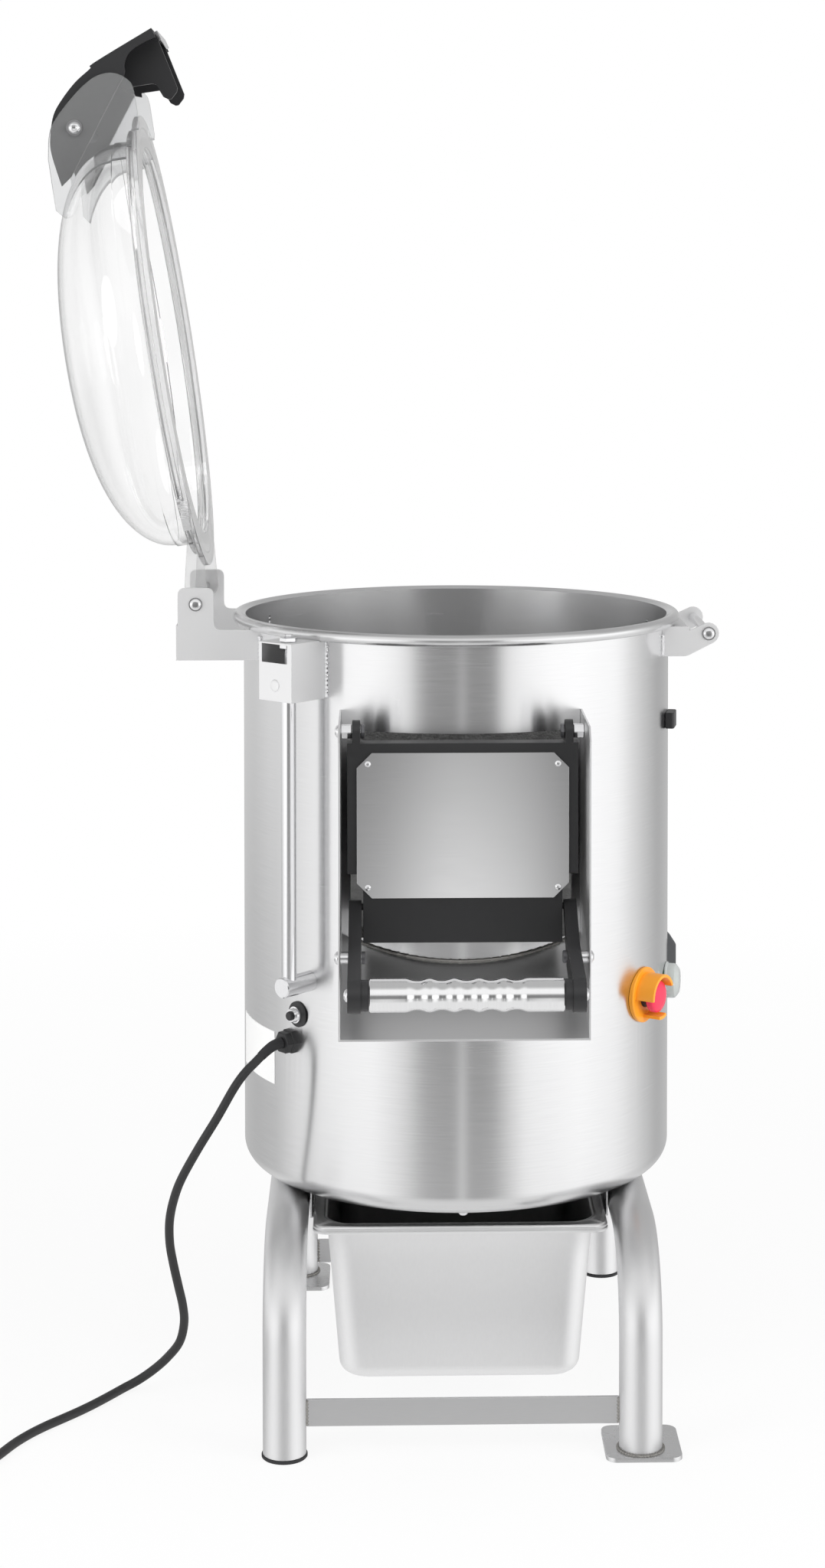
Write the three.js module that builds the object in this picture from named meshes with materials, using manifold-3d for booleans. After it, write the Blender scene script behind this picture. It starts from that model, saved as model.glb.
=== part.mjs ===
// Electric potato peeler: a steel drum on a tube stand, with a clear lid, a front
// discharge door worked by a lever, a peel pan, and the abrasive drive inside.
// Millimetres, +Z up, the front faces -Y. The drum's axis is X = 0, Y = 0 in the
// machine group, which is then moved so that the origin is under the middle of the
// whole object.
import * as THREE from 'three';
import { mergeVertices } from 'three/addons/utils/BufferGeometryUtils.js';
import Module from 'manifold-3d';

const wasm = await Module();
wasm.setup();

// Clearances and overruns
const seatGap = 0.3;
const runGap = 0.25;
const overrun = 2;
const weldTolerance = 0.0001;

// Shares of the sizes that they follow
const boxRootShare = 0.8;
const bossRootShare = 0.9;
const fittingRootShare = 0.95;
const lugRootShare = 0.95;
const boltCrownShare = 0.6;
const stripBoltShare = 0.8;
const collarShare = 0.9;
const buttonCrownShare = 0.7;
const windowScrewShare = 0.85;
const catchTangentShare = 0.7;
const turntableShares = [0.94, 0.72, 0.42];
const turntableSwellShares = [0.8, 1, 0.6, 0.1];
const hubFootShare = 1.4;
const stopHeadShares = [0.5, 0.82, 0.85, 0.45];
const startBootShares = [0.4, 0.7];
const startCrownShare = 0.85;

// Angles of the stop button's hood and tongue
const stopHoodAngles = [22, 182];
const stopTongueAngles = [255, 295];

// Where the origin lies from the drum's axis
const originFromAxisX = -65.2;
const originFromAxisY = -50.8;

// Drum
const drumRadius = 200;
const drumWall = 1.5;
const drumBottomZ = 199;
const drumFillet = 19;
const rimCentreZ = 710;
const rimBead = 5.15;
const rimLapShare = 0.55;
const drumMouthRadius = 112;
const drumSides = 48;

// Stand
const tubeRadius = 19;
const tubeWall = 1.5;
const legSpreadY = 225;
const legBend = 80;
const frontBarZ = 26;
const backBarZ = 12.5;
const barHeight = 24;
const barThickness = 3;
const rubberSole = 3;
const rubberPlug = 13;
const rubberLip = 1.3;
const footPlateThickness = 4;
const footPlateOutward = 35.2;
const footPlateInward = 31.5;
const footPlateAhead = 23;
const footPlateBehind = 49;
const footPlateCorner = 10;
const footHoleRadius = 5.5;

// Peel pan and its rails
const panHalfX = 132.5;
const panToLeg = 23;
const legSpreadX = panHalfX + panToLeg;
const panHalfY = 162.5;
const panRimZ = 180;
const panRimDrop = 7;
const panDepth = 149;
const panFlange = 12;
const panTaper = 11;
const panWall = 1.2;
const panCorner = 24;
const panFillet = 14;
const railHalfLength = 112;
const railThickness = 1.5;
const railLip = 12;
const railClearance = 1.7;

// Chamber and drive
const chamberFloorZ = 416;
const chamberFloorThickness = 3;
const drainRadius = 22;
const drainWall = 1.5;
const drainX = -80;
const drainY = -36;
const drainEndZ = 186;
const coverLap = 6;
const coverRadius = drumMouthRadius + coverLap;
const coverThickness = 2;
const linerThickness = 6;
const linerTopZ = 600;
const linerBottomZ = 440;
const turntableInset = 15;
const turntableRadius = drumRadius - turntableInset;
const turntableZ = 430;
const turntableEdge = 7;
const turntableHump = 16;
const turntableCrown = 6;
const turntableWaves = 3;
const hubKnobRadius = 24;
const hubKnobHeight = 15;
const sweeperHeight = 7;
const sweeperThickness = 5;
const shaftRadius = 12.5;
const shaftBottomZ = 212;
const shaftFlange = 28;
const housingRadius = 36;
const housingFlange = 46;
const housingBottomZ = 300;
const housingFlangeThickness = 14;
const motorOffset = 105;
const motorRadius = 55;
const motorBottomZ = 262;
const motorFlangeThickness = 8;
const motorShaftRadius = 7;
const pulleyBottomZ = 224;
const pulleyHeight = 20;
const largePulleyRadius = 56;
const smallPulleyRadius = 20;
const grooveDepth = 6;
const pulleyLip = 3;
const beltHeight = 5.2;
const beltDepth = 5;
const contactorWidth = 44;
const contactorLength = 68;
const contactorHeight = 84;

// Discharge chute, door and lever
const chuteHalfWidth = 107.5;
const chuteSheet = 1.5;
const chuteReach = 80;
const chuteFrontY = -drumRadius - chuteReach;
const chuteChamfer = 12;
const chuteFloorFrontZ = 380;
const chuteFloorRise = 47.6;
const chuteFloorReach = 80;
const openingMargin = 9.5;
const openingHalfWidth = chuteHalfWidth - openingMargin;
const openingBottomZ = 430;
const doorMargin = 7.25;
const doorHalfWidth = chuteHalfWidth - doorMargin;
const doorBottomZ = 450;
const doorHeight = 174;
const doorTopZ = doorBottomZ + doorHeight;
const openingTopGap = 4;
const openingTopZ = doorTopZ + openingTopGap;
const doorReach = 25;
const doorFaceY = -drumRadius - doorReach;
const doorThickness = 18;
const doorPlugSide = 21.5;
const doorPlugHalfWidth = chuteHalfWidth - doorPlugSide;
const doorPlugInset = 3;
const doorPlugRadius = drumRadius - doorPlugInset;
const doorPlugMargin = 9;
const doorHingeRise = 9;
const doorHingeZ = doorTopZ + doorHingeRise;
const chuteTopRise = 12;
const chuteTopZ = doorHingeZ + chuteTopRise;
const doorHingeReach = 15;
const doorHingeY = -drumRadius - doorHingeReach;
const doorEarThickness = 7;
const doorEarInset = 15;
const doorEarX = chuteHalfWidth - doorEarInset;
const doorEarRadius = 10;
const doorPlateSide = 15.5;
const doorPlateHalfWidth = chuteHalfWidth - doorPlateSide;
const doorPlateRise = 39.2;
const doorPlateBottomZ = doorBottomZ + doorPlateRise;
const doorPlateMargin = 8.2;
const doorPlateTopZ = doorTopZ - doorPlateMargin;
const doorPlateThickness = 1.2;
const doorPlateCorner = 13;
const plateScrewInset = 9.5;
const plateScrewRadius = 2.8;
const plateScrewHeight = 1.6;
const leverPivotReach = 62;
const leverPivotY = -drumRadius - leverPivotReach;
const leverPivotZ = 446;
const leverTipReach = 17;
const leverTipY = -drumRadius - leverTipReach;
const leverTipZ = 480;
const gripReach = 135;
const gripY = -drumRadius - gripReach;
const gripZ = 432;
const armThickness = 11;
const armInset = 14;
const armX = chuteHalfWidth - armInset;
const armTipRadius = 6;
const armPivotRadius = 11;
const armGripRadius = 14.6;
const armSpacerRadius = 9;
const armPinRadius = 3;
const armPinLength = 7;
const armPinSlotWidth = 10;
const armPinSlotShift = 1.5;
const armPinSlotRise = 18;
const doorNotchHeight = 60;
const gripRadius = 14;
const gripInset = 26.5;
const gripLength = 2 * (chuteHalfWidth - gripInset);
const gripWaist = 1.9;
const gripPitch = 20.5;
const gripWaists = 5;
const gripCollar = 7;
const boltShank = 3;
const boltHeadRadius = 5.4;
const boltHeadHeight = 3.3;
const washerRadius = 7;
const washerThickness = 1.2;
const spacerAcross = 11.5;
const pivotBoltShank = 4;

// Lid hinge
const hingeReach = 40;
const hingeX = -drumRadius - hingeReach;
const hingeZ = 729.4;
const hingePlateY = 84;
const hingePlateThickness = 3;
const hingeArmHalf = 16.4;
const hingeArmTopZ = 744.4;
const hingeArmCorner = 7;
const hingeShelfZ = 706;
const hingeBottomZ = 678;
const hingeWallTopZ = 710;
const lidOpenAngle = 98.64;

// Lid
const lidOverhang = 2.7;
const lidOuterRadius = drumRadius + 2 * rimBead + lidOverhang;
const lidRestGap = 0.5;
const lidFlange = 5;
const lidFlangeWidth = 12;
const lidLipRadius = lidOuterRadius - lidFlangeWidth;
const lidLipHeight = 12;
const lidLipWidth = 7.5;
const lidSeatRadius = lidLipRadius - lidLipWidth;
const lidSeatWidth = 10.5;
const lidInnerRadius = lidSeatRadius - lidSeatWidth;
const lidSeatHeight = 6;
const domeFootWidth = 3.5;
const domeRadius = lidSeatRadius - domeFootWidth;
const domeWall = 3;
const domeSkirt = 28;
const domeRise = 73;
const domePower = 2.6;
const domeFootInset = 1;
const domeFootRadius = lidInnerRadius + domeFootInset;
const lidSides = 40;
const lugEyeRadius = 11;
const lugThickness = 5;
const lugInset = 2;
const lugEndX = lugInset - lidInnerRadius;
const lugEndDrop = 0.6;

// Latch: ears on the lid, the lever, and the catch on the drum
const catchReach = 31.7;
const catchX = drumRadius + catchReach;
const catchZ = 698.9;
const catchPinRadius = 4.3;
const catchEyeRadius = 9.8;
const catchPlateY = 65;
const catchPlateThickness = 3;
const catchTopZ = 705.4;
const catchBottomZ = 677.7;
const catchNotchReach = 13.6;
const catchNotchX = drumRadius + catchNotchReach;
const catchNotchDrop = 4;
const catchWeb = 2.5;
const latchPivotReach = 5;
const latchPivotX = drumRadius + latchPivotReach;
const latchPivotZ = 771;
const latchReach = 79.6;
const latchDrop = 82;
const latchHalfWidth = 82.5;
const latchFlange = 4;
const latchWeb = 4;
const hookHalfSpan = 47;
const hookClearance = 1.4;
const hookSlopeShare = 0.4;
const earReach = 44.6;
const earDrop = 58.2;
const earThickness = 5;
const earGap = 0.5;

// Lid switch box, conduit and lid magnet
const switchAzimuth = -42.5;
const switchBoxHalf = 20;
const switchBoxDepth = 43;
const switchBoxOut = drumRadius + switchBoxDepth;
const switchBoxTopZ = 706;
const switchBoxBottomZ = 654;
const switchSheet = 1.5;
const windowHalf = 15.5;
const windowHeight = 16.5;
const windowShift = -1.1;
const windowDrop = 1.5;
const sensorReach = 31;
const sensorOut = drumRadius + sensorReach;
const sensorAside = 5;
const sensorRadius = 4.2;
const sensorTopZ = 713;
const sensorBottomZ = 681;
const sensorNutAcross = 14;
const sensorNutHeight = 4;
const conduitRadius = 6.8;
const conduitReach = 26;
const conduitOut = drumRadius + conduitReach;
const conduitBossRadius = 9.1;
const conduitBossZ = 398;
const conduitBossReach = 36;
const conduitBossOut = drumRadius + conduitBossReach;
const conduitWall = 1.5;
const magnetWidth = 16;
const magnetStrip = 2;
const magnetBlock = 12;

// Controls
const breakerAzimuth = -46.7;
const breakerZ = 365.4;
const breakerRing = 11.5;
const breakerBush = 6;
const breakerButton = 4;
const breakerTravel = 3;
const glandAzimuth = -49.4;
const glandZ = 339.5;
const glandAcross = 20;
const glandFlange = 5;
const glandCapAcross = 18;
const glandNoseReach = 12;
const glandNoseOut = drumRadius + glandNoseReach;
const glandThread = 9;
const glandThreadLength = 12;
const stopAzimuth = 57;
const stopZ = 374;
const stopDisc = 25;
const stopDiscThickness = 3;
const stopShroud = 20.5;
const stopShroudWall = 3;
const stopTongueReach = 19.6;
const stopShroudReach = 21.4;
const stopTongueOut = drumRadius + stopTongueReach;
const stopShroudOut = drumRadius + stopShroudReach;
const stopHead = 14.5;
const stopHeadReach = 20;
const stopHeadOut = drumRadius + stopHeadReach;
const stopHeadHeight = 10;
const stopStem = 6.5;
const stopBody = 10.9;
const stopBodyDepth = 48;
const stopBodyReach = 4.5;
const stopBodyOut = drumRadius + stopBodyReach;
const startAzimuth = 77;
const startZ = 371;
const startBoot = 16;
const startBootReach = 12.8;
const startBootOut = drumRadius + startBootReach;
const startBootWall = 1.5;
const startButton = 11;
const startButtonReach = 8.5;
const startButtonOut = drumRadius + startButtonReach;
const startCapHeight = 5;
const startStem = 8.5;
const startStemDepth = 2.5;
const startStemIn = drumRadius - startStemDepth;
const startTravel = 2.5;
const startContactDepth = 50;
const startContactIn = drumRadius - startContactDepth;
const panelHole = 11.25;
const inletAzimuth = 78;
const inletZ = 616;
const inletHeight = 15;
const inletWidth = 24;
const inletReach = 8;
const inletOut = drumRadius + inletReach;
const hoodAzimuth = 97;
const hoodTopZ = 404.5;
const hoodBottomZ = 350;
const hoodWidth = 46;
const hoodReach = 8.5;
const hoodOut = drumRadius + hoodReach;
const hoodChamfer = 11;

// Cord, coil and plug
const cordDiameter = 8;
const coilRadius = 52;
const coilPitch = 8.85;
const coilLayerRise = 8.8;
const coilTurnsIn = 2;
const coilTurnsOut = 2.2;
const coilClimb = 0.3;
const coilSteps = 24;
const cordSides = 8;
const coilSides = 6;
const cordFloor = 4.2;
const coilJoint = 1.1;
const plugRadius = 18;
const plugLength = 42;
const plugNose = 22;
const plugPinRadius = 2.4;
const plugPinLength = 19;
const plugPinSpacing = 19;

const degree = Math.PI / 180;

// Colours and finishes
const finish = {
  brushed: new THREE.MeshStandardMaterial({ color: 0xc9cbcd, roughness: 0.34, metalness: 1 }),
  satin: new THREE.MeshStandardMaterial({ color: 0xbfc1c3, roughness: 0.42, metalness: 1 }),
  polished: new THREE.MeshStandardMaterial({ color: 0xd9dadc, roughness: 0.16, metalness: 1 }),
  aluminium: new THREE.MeshStandardMaterial({ color: 0xdfe0e2, roughness: 0.22, metalness: 1 }),
  iron: new THREE.MeshStandardMaterial({ color: 0x55585c, roughness: 0.6, metalness: 0.8 }),
  black: new THREE.MeshStandardMaterial({ color: 0x1b1c1e, roughness: 0.55, metalness: 0 }),
  rubber: new THREE.MeshStandardMaterial({ color: 0x232425, roughness: 0.8, metalness: 0 }),
  grey: new THREE.MeshStandardMaterial({ color: 0x4d5054, roughness: 0.5, metalness: 0 }),
  clear: new THREE.MeshStandardMaterial({
    color: 0xf4f7f8, roughness: 0.06, metalness: 0, transparent: true, opacity: 0.3,
  }),
  boot: new THREE.MeshStandardMaterial({
    color: 0xdfe6e2, roughness: 0.2, metalness: 0, transparent: true, opacity: 0.5,
  }),
  orange: new THREE.MeshStandardMaterial({ color: 0xf39a1c, roughness: 0.4, metalness: 0 }),
  red: new THREE.MeshStandardMaterial({ color: 0xc9202c, roughness: 0.35, metalness: 0 }),
  green: new THREE.MeshStandardMaterial({ color: 0x2f9e58, roughness: 0.4, metalness: 0 }),
  abrasive: new THREE.MeshStandardMaterial({ color: 0x6a6a66, roughness: 0.95, metalness: 0 }),
  cord: new THREE.MeshStandardMaterial({ color: 0x161617, roughness: 0.6, metalness: 0 }),
};

// Solids

// A closed geometry as a solid, with its shared vertices merged and its faces out.
function solid(geometry) {
  const bare = new THREE.BufferGeometry();
  bare.setAttribute('position', geometry.getAttribute('position').clone());
  if (geometry.index) bare.setIndex(geometry.index.clone());
  const merged = mergeVertices(bare, weldTolerance);
  const place = merged.getAttribute('position');
  const corner = merged.index.array;
  const kept = [];
  const a = new THREE.Vector3();
  const b = new THREE.Vector3();
  const c = new THREE.Vector3();
  let volume = 0;
  for (let i = 0; i < corner.length; i += 3) {
    const [p, q, r] = [corner[i], corner[i + 1], corner[i + 2]];
    if (p !== q && q !== r && r !== p) {
      kept.push(p, q, r);
      a.fromBufferAttribute(place, p);
      b.fromBufferAttribute(place, q);
      c.fromBufferAttribute(place, r);
      volume += a.dot(b.cross(c));
    }
  }
  if (volume < 0) kept.reverse();
  return new wasm.Manifold(new wasm.Mesh({
    numProp: 3,
    vertProperties: new Float32Array(place.array),
    triVerts: new Uint32Array(kept),
  }));
}

// A solid as a geometry that a mesh can show.
function geometryOf(body) {
  const mesh = body.getMesh();
  const geometry = new THREE.BufferGeometry();
  geometry.setAttribute('position', new THREE.BufferAttribute(mesh.vertProperties, 3));
  geometry.setIndex(new THREE.BufferAttribute(mesh.triVerts, 1));
  const flat = geometry.toNonIndexed();
  flat.computeVertexNormals();
  return flat;
}

// Joins several solids into one.
function join(...bodies) {
  return bodies.reduce((whole, body) => whole.add(body));
}

// Turns about the origin, in degrees.
function turned(body, x, y, z) {
  return body.rotate([x, y, z]);
}

// Moves a solid.
function moved(body, x, y, z) {
  return body.translate([x, y, z]);
}

// The mirror image across the plane X = 0.
function mirroredX(body) {
  return body.mirror([1, 0, 0]);
}

// The mirror image across the plane Y = 0.
function mirroredY(body) {
  return body.mirror([0, 1, 0]);
}

// A polygon extruded from one height to another.
function prismZ(points, low, high) {
  const shape = new THREE.Shape(points.map(([x, y]) => new THREE.Vector2(x, y)));
  const geometry = new THREE.ExtrudeGeometry(shape, { depth: high - low, bevelEnabled: false });
  return moved(solid(geometry), 0, 0, low);
}

// The same along X: the polygon's points are (y, z).
function prismX(points, low, high) {
  const upright = new THREE.Matrix4().makeBasis(
    new THREE.Vector3(0, 1, 0), new THREE.Vector3(0, 0, 1), new THREE.Vector3(1, 0, 0),
  );
  const shape = new THREE.Shape(points.map(([y, z]) => new THREE.Vector2(y, z)));
  const geometry = new THREE.ExtrudeGeometry(shape, { depth: high - low, bevelEnabled: false });
  return moved(solid(geometry.applyMatrix4(upright)), low, 0, 0);
}

// The same along Y: the polygon's points are (x, z).
function prismY(points, low, high) {
  const upright = new THREE.Matrix4().makeBasis(
    new THREE.Vector3(1, 0, 0), new THREE.Vector3(0, 0, 1), new THREE.Vector3(0, -1, 0),
  );
  const shape = new THREE.Shape(points.map(([x, z]) => new THREE.Vector2(x, z)));
  const geometry = new THREE.ExtrudeGeometry(shape, { depth: high - low, bevelEnabled: false });
  return moved(solid(geometry.applyMatrix4(upright)), 0, high, 0);
}

// A block between two corners.
function block(low, high) {
  const size = high.map((value, axis) => value - low[axis]);
  const centre = high.map((value, axis) => (value + low[axis]) / 2);
  return moved(solid(new THREE.BoxGeometry(...size)), ...centre);
}

// A profile of (radius, height) points turned about +Z. It starts and ends on the
// axis, or closes on itself.
function revolve(profile, sides) {
  const points = profile.map(([radius, height]) => new THREE.Vector2(radius, height));
  const onAxis = profile[0][0] === 0 && profile[profile.length - 1][0] === 0;
  if (!onAxis) points.push(points[0].clone());
  const geometry = new THREE.LatheGeometry(points, sides);
  return solid(geometry.rotateX(90 * degree));
}

// The same turned about +X: the points are (radius, x).
function revolveX(profile, sides) {
  return turned(revolve(profile, sides), 0, 90, 0);
}

// A round bar along +X, +Y or +Z.
function barZ(x, y, radius, low, high, sides) {
  return moved(revolve([[0, low], [radius, low], [radius, high], [0, high]], sides), x, y, 0);
}
function barX(y, z, radius, low, high, sides) {
  return moved(revolveX([[0, low], [radius, low], [radius, high], [0, high]], sides), 0, y, z);
}
function barY(x, z, radius, low, high, sides) {
  const bar = turned(revolve([[0, -high], [radius, -high], [radius, -low], [0, -low]], sides), 90, 0, 0);
  return moved(bar, x, 0, z);
}

// A hexagonal bar along +X with a width across flats.
function hexX(across, low, high) {
  const radius = across / 2 / Math.cos(30 * degree);
  return revolveX([[0, low], [radius, low], [radius, high], [0, high]], 6);
}

// Points on an arc, both ends included.
function arc(cx, cy, radius, from, to, steps) {
  return Array.from({ length: steps + 1 }, (_, step) => {
    const angle = (from + (to - from) * step / steps) * degree;
    return [cx + radius * Math.cos(angle), cy + radius * Math.sin(angle)];
  });
}

// A polygon whose corners [x, y, radius] are rounded where a radius is given.
function rounded(corners, steps) {
  return corners.flatMap(([x, y, radius], at) => {
    if (!radius) return [[x, y]];
    const here = new THREE.Vector2(x, y);
    const back = corners[(at + corners.length - 1) % corners.length];
    const ahead = corners[(at + 1) % corners.length];
    const toBack = new THREE.Vector2(back[0], back[1]).sub(here).normalize();
    const toAhead = new THREE.Vector2(ahead[0], ahead[1]).sub(here).normalize();
    const half = Math.acos(THREE.MathUtils.clamp(toBack.dot(toAhead), -1, 1)) / 2;
    const reach = radius / Math.tan(half);
    const start = here.clone().addScaledVector(toBack, reach);
    const end = here.clone().addScaledVector(toAhead, reach);
    return Array.from({ length: steps + 1 }, (_, step) => {
      const share = step / steps;
      const near = start.clone().lerp(here, share);
      const far = here.clone().lerp(end, share);
      const point = near.lerp(far, share);
      return [point.x, point.y];
    });
  });
}

// The outline round two circles and the straight sides that touch both.
function linkOutline([ax, ay, ar], [bx, by, br], steps) {
  const along = Math.atan2(by - ay, bx - ax) / degree;
  const apart = Math.hypot(bx - ax, by - ay);
  const lean = Math.acos((ar - br) / apart) / degree;
  return [
    ...arc(ax, ay, ar, along + lean, along + 360 - lean, steps),
    ...arc(bx, by, br, along - lean, along + lean, steps),
  ];
}

// A closed skin through rings of equal counts, with flat ends.
function skin(rings) {
  const count = rings[0].length;
  const index = [];
  rings.slice(1).forEach((_, step) => {
    for (let side = 0; side < count; side += 1) {
      const here = step * count + side;
      const next = step * count + ((side + 1) % count);
      index.push(here, next, next + count, here, next + count, here + count);
    }
  });
  const last = (rings.length - 1) * count;
  for (let side = 1; side < count - 1; side += 1) {
    index.push(0, side + 1, side, last, last + side, last + side + 1);
  }
  const geometry = new THREE.BufferGeometry();
  geometry.setAttribute('position', new THREE.Float32BufferAttribute(rings.flat(2), 3));
  geometry.setIndex(index);
  return solid(geometry);
}

// Rings of a round section carried along points without twisting.
function tubeRings(points, radius, sides) {
  const at = points.map((point) => new THREE.Vector3(...point));
  const heading = at.map((point, step) => {
    const before = at[Math.max(step - 1, 0)];
    const after = at[Math.min(step + 1, at.length - 1)];
    return after.clone().sub(before).normalize();
  });
  const first = Math.abs(heading[0].z) < 0.9 ? new THREE.Vector3(0, 0, 1) : new THREE.Vector3(1, 0, 0);
  let across = first.cross(heading[0]).normalize();
  return at.map((point, step) => {
    const ahead = heading[step];
    across = across.addScaledVector(ahead, -across.dot(ahead)).normalize();
    const up = ahead.clone().cross(across);
    return Array.from({ length: sides }, (_, side) => {
      const angle = 2 * Math.PI * side / sides;
      const spoke = point.clone()
        .addScaledVector(across, radius * Math.cos(angle))
        .addScaledVector(up, radius * Math.sin(angle));
      return spoke.toArray();
    });
  });
}

// The scene graph
const root = new THREE.Group();
const machine = new THREE.Group();
machine.position.set(-originFromAxisX, -originFromAxisY, 0);
root.add(machine);

function part(name, body, material, parent = machine) {
  const mesh = new THREE.Mesh(geometryOf(body), material);
  mesh.name = name;
  parent.add(mesh);
  return mesh;
}

// A group whose +X points straight out of the drum at an azimuth. Azimuth 0 is the
// front, and grows towards +X.
function wallGroup(azimuth, parent = machine) {
  const group = new THREE.Group();
  group.rotation.z = (azimuth - 90) * degree;
  parent.add(group);
  return group;
}

// Drum

const rimCentreRadius = drumRadius + rimBead;
const drumInner = drumRadius - drumWall;

// The outside of the drum and its rim, grown by a gap, as one filled solid.
function drumEnvelope(gap) {
  const radius = drumRadius + gap;
  return revolve([
    [0, drumBottomZ - gap],
    [drumRadius - drumFillet, drumBottomZ - gap],
    ...arc(drumRadius - drumFillet, drumBottomZ + drumFillet, drumFillet + gap, -60, 0, 2),
    [radius, rimCentreZ - rimBead * rimLapShare],
    ...arc(rimCentreRadius, rimCentreZ, rimBead + gap, 210, 450, 6),
    [0, rimCentreZ + rimBead + gap],
  ], drumSides);
}
const wallCutter = drumEnvelope(seatGap);

// Cuts a fitting, drawn with +X pointing out of the wall, to the drum's curve.
function seatOnWall(body, azimuth) {
  return body.subtract(turned(wallCutter, 0, 0, 90 - azimuth));
}

// A hole through the wall at an azimuth.
function wallHole(azimuth, z, radius, sides) {
  const drill = barX(0, z, radius, drumInner - drumFillet, drumRadius + drumFillet, sides);
  return turned(drill, 0, 0, azimuth - 90);
}

function drumShell() {
  const inFillet = drumFillet - drumWall;
  const shell = revolve([
    [drumMouthRadius, drumBottomZ],
    ...arc(drumRadius - drumFillet, drumBottomZ + drumFillet, drumFillet, -90, 0, 3),
    [drumRadius, rimCentreZ - rimBead * rimLapShare],
    ...arc(rimCentreRadius, rimCentreZ, rimBead, 210, 490, 7),
    [drumInner, rimCentreZ + rimBead * rimLapShare],
    ...arc(drumRadius - drumFillet, drumBottomZ + drumFillet, inFillet, 0, -90, 2),
    [drumMouthRadius, drumBottomZ + drumWall],
  ], drumSides);
  const opening = block(
    [-openingHalfWidth, -drumRadius - overrun, openingBottomZ],
    [openingHalfWidth, -drumRadius / 2, openingTopZ],
  );
  return shell
    .subtract(opening)
    .subtract(wallHole(breakerAzimuth, breakerZ, breakerBush + runGap, 12))
    .subtract(wallHole(glandAzimuth, glandZ, glandThread + runGap, 12))
    .subtract(wallHole(stopAzimuth, stopZ, panelHole, 14))
    .subtract(wallHole(startAzimuth, startZ, panelHole, 14));
}

// Stand

const topRunZ = drumBottomZ - seatGap - tubeRadius;

// The middle line of one bent tube, from its front foot to its back foot.
function legPath(x, frontZ, backZ) {
  const bendY = legSpreadY - legBend;
  const bendZ = topRunZ - legBend;
  const front = arc(-bendY, bendZ, legBend, 180, 90, 5);
  const back = arc(bendY, bendZ, legBend, 90, 0, 5);
  const line = [[-legSpreadY, frontZ], ...front, ...back, [legSpreadY, backZ]];
  return line.map(([y, z]) => [x, y, z]);
}

function footPlate(side, end) {
  const outline = rounded([
    [-footPlateInward, -footPlateAhead, footPlateCorner],
    [footPlateOutward, -footPlateAhead, footPlateCorner],
    [footPlateOutward, footPlateBehind, footPlateCorner],
    [-footPlateInward, footPlateBehind, footPlateCorner],
  ], 3);
  const holeY = (tubeRadius + footPlateBehind) / 2;
  const plate = prismZ(outline, 0, footPlateThickness)
    .subtract(barZ(0, holeY, footHoleRadius, -overrun, footPlateThickness + overrun, 12));
  const facing = end < 0 ? plate : mirroredY(plate);
  const handed = side > 0 ? facing : mirroredX(facing);
  return moved(handed, side * legSpreadX, end * legSpreadY, 0);
}

// One side of the stand: a hollow tube with a foot plate welded on one end.
function standTube(side, plateEnd) {
  const rubberZ = rubberSole + seatGap;
  const frontZ = plateEnd < 0 ? footPlateThickness / 2 : rubberZ;
  const backZ = plateEnd > 0 ? footPlateThickness / 2 : rubberZ;
  const x = side * legSpreadX;
  const boreFront = plateEnd < 0 ? footPlateThickness : rubberZ - overrun;
  const boreBack = plateEnd > 0 ? footPlateThickness : rubberZ - overrun;
  const outer = skin(tubeRings(legPath(x, frontZ, backZ), tubeRadius, 16));
  const bore = skin(tubeRings(legPath(x, boreFront, boreBack), tubeRadius - tubeWall, 10));
  const drain = barZ(x, plateEnd * legSpreadY, tubeWall * 2, -overrun, footPlateThickness + overrun, 8);
  return join(outer, footPlate(side, plateEnd)).subtract(bore).subtract(drain);
}

function rubberFoot(side, end) {
  const plug = tubeRadius - tubeWall - seatGap * 5;
  const sole = tubeRadius + rubberLip;
  const foot = revolve([
    [0, 0],
    [sole - rubberLip, 0],
    [sole, rubberLip],
    [sole, rubberSole],
    [plug, rubberSole],
    [plug, rubberSole + rubberPlug],
    [0, rubberSole + rubberPlug],
  ], 18);
  return moved(foot, side * legSpreadX, end * legSpreadY, 0);
}

function crossBar(end, z) {
  const half = legSpreadX - tubeRadius - seatGap;
  const y = end * legSpreadY;
  return block([-half, y - barThickness / 2, z], [half, y + barThickness / 2, z + barHeight]);
}

// Pan

// A rounded rectangle as a ring of points.
function panRing(halfX, halfY, corner, z) {
  const [cx, cy] = [halfX - corner, halfY - corner];
  return [
    ...arc(cx, cy, corner, 0, 90, 4),
    ...arc(-cx, cy, corner, 90, 180, 4),
    ...arc(-cx, -cy, corner, 180, 270, 4),
    ...arc(cx, -cy, corner, 270, 360, 4),
  ].map(([x, y]) => [x, y, z]);
}

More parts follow.
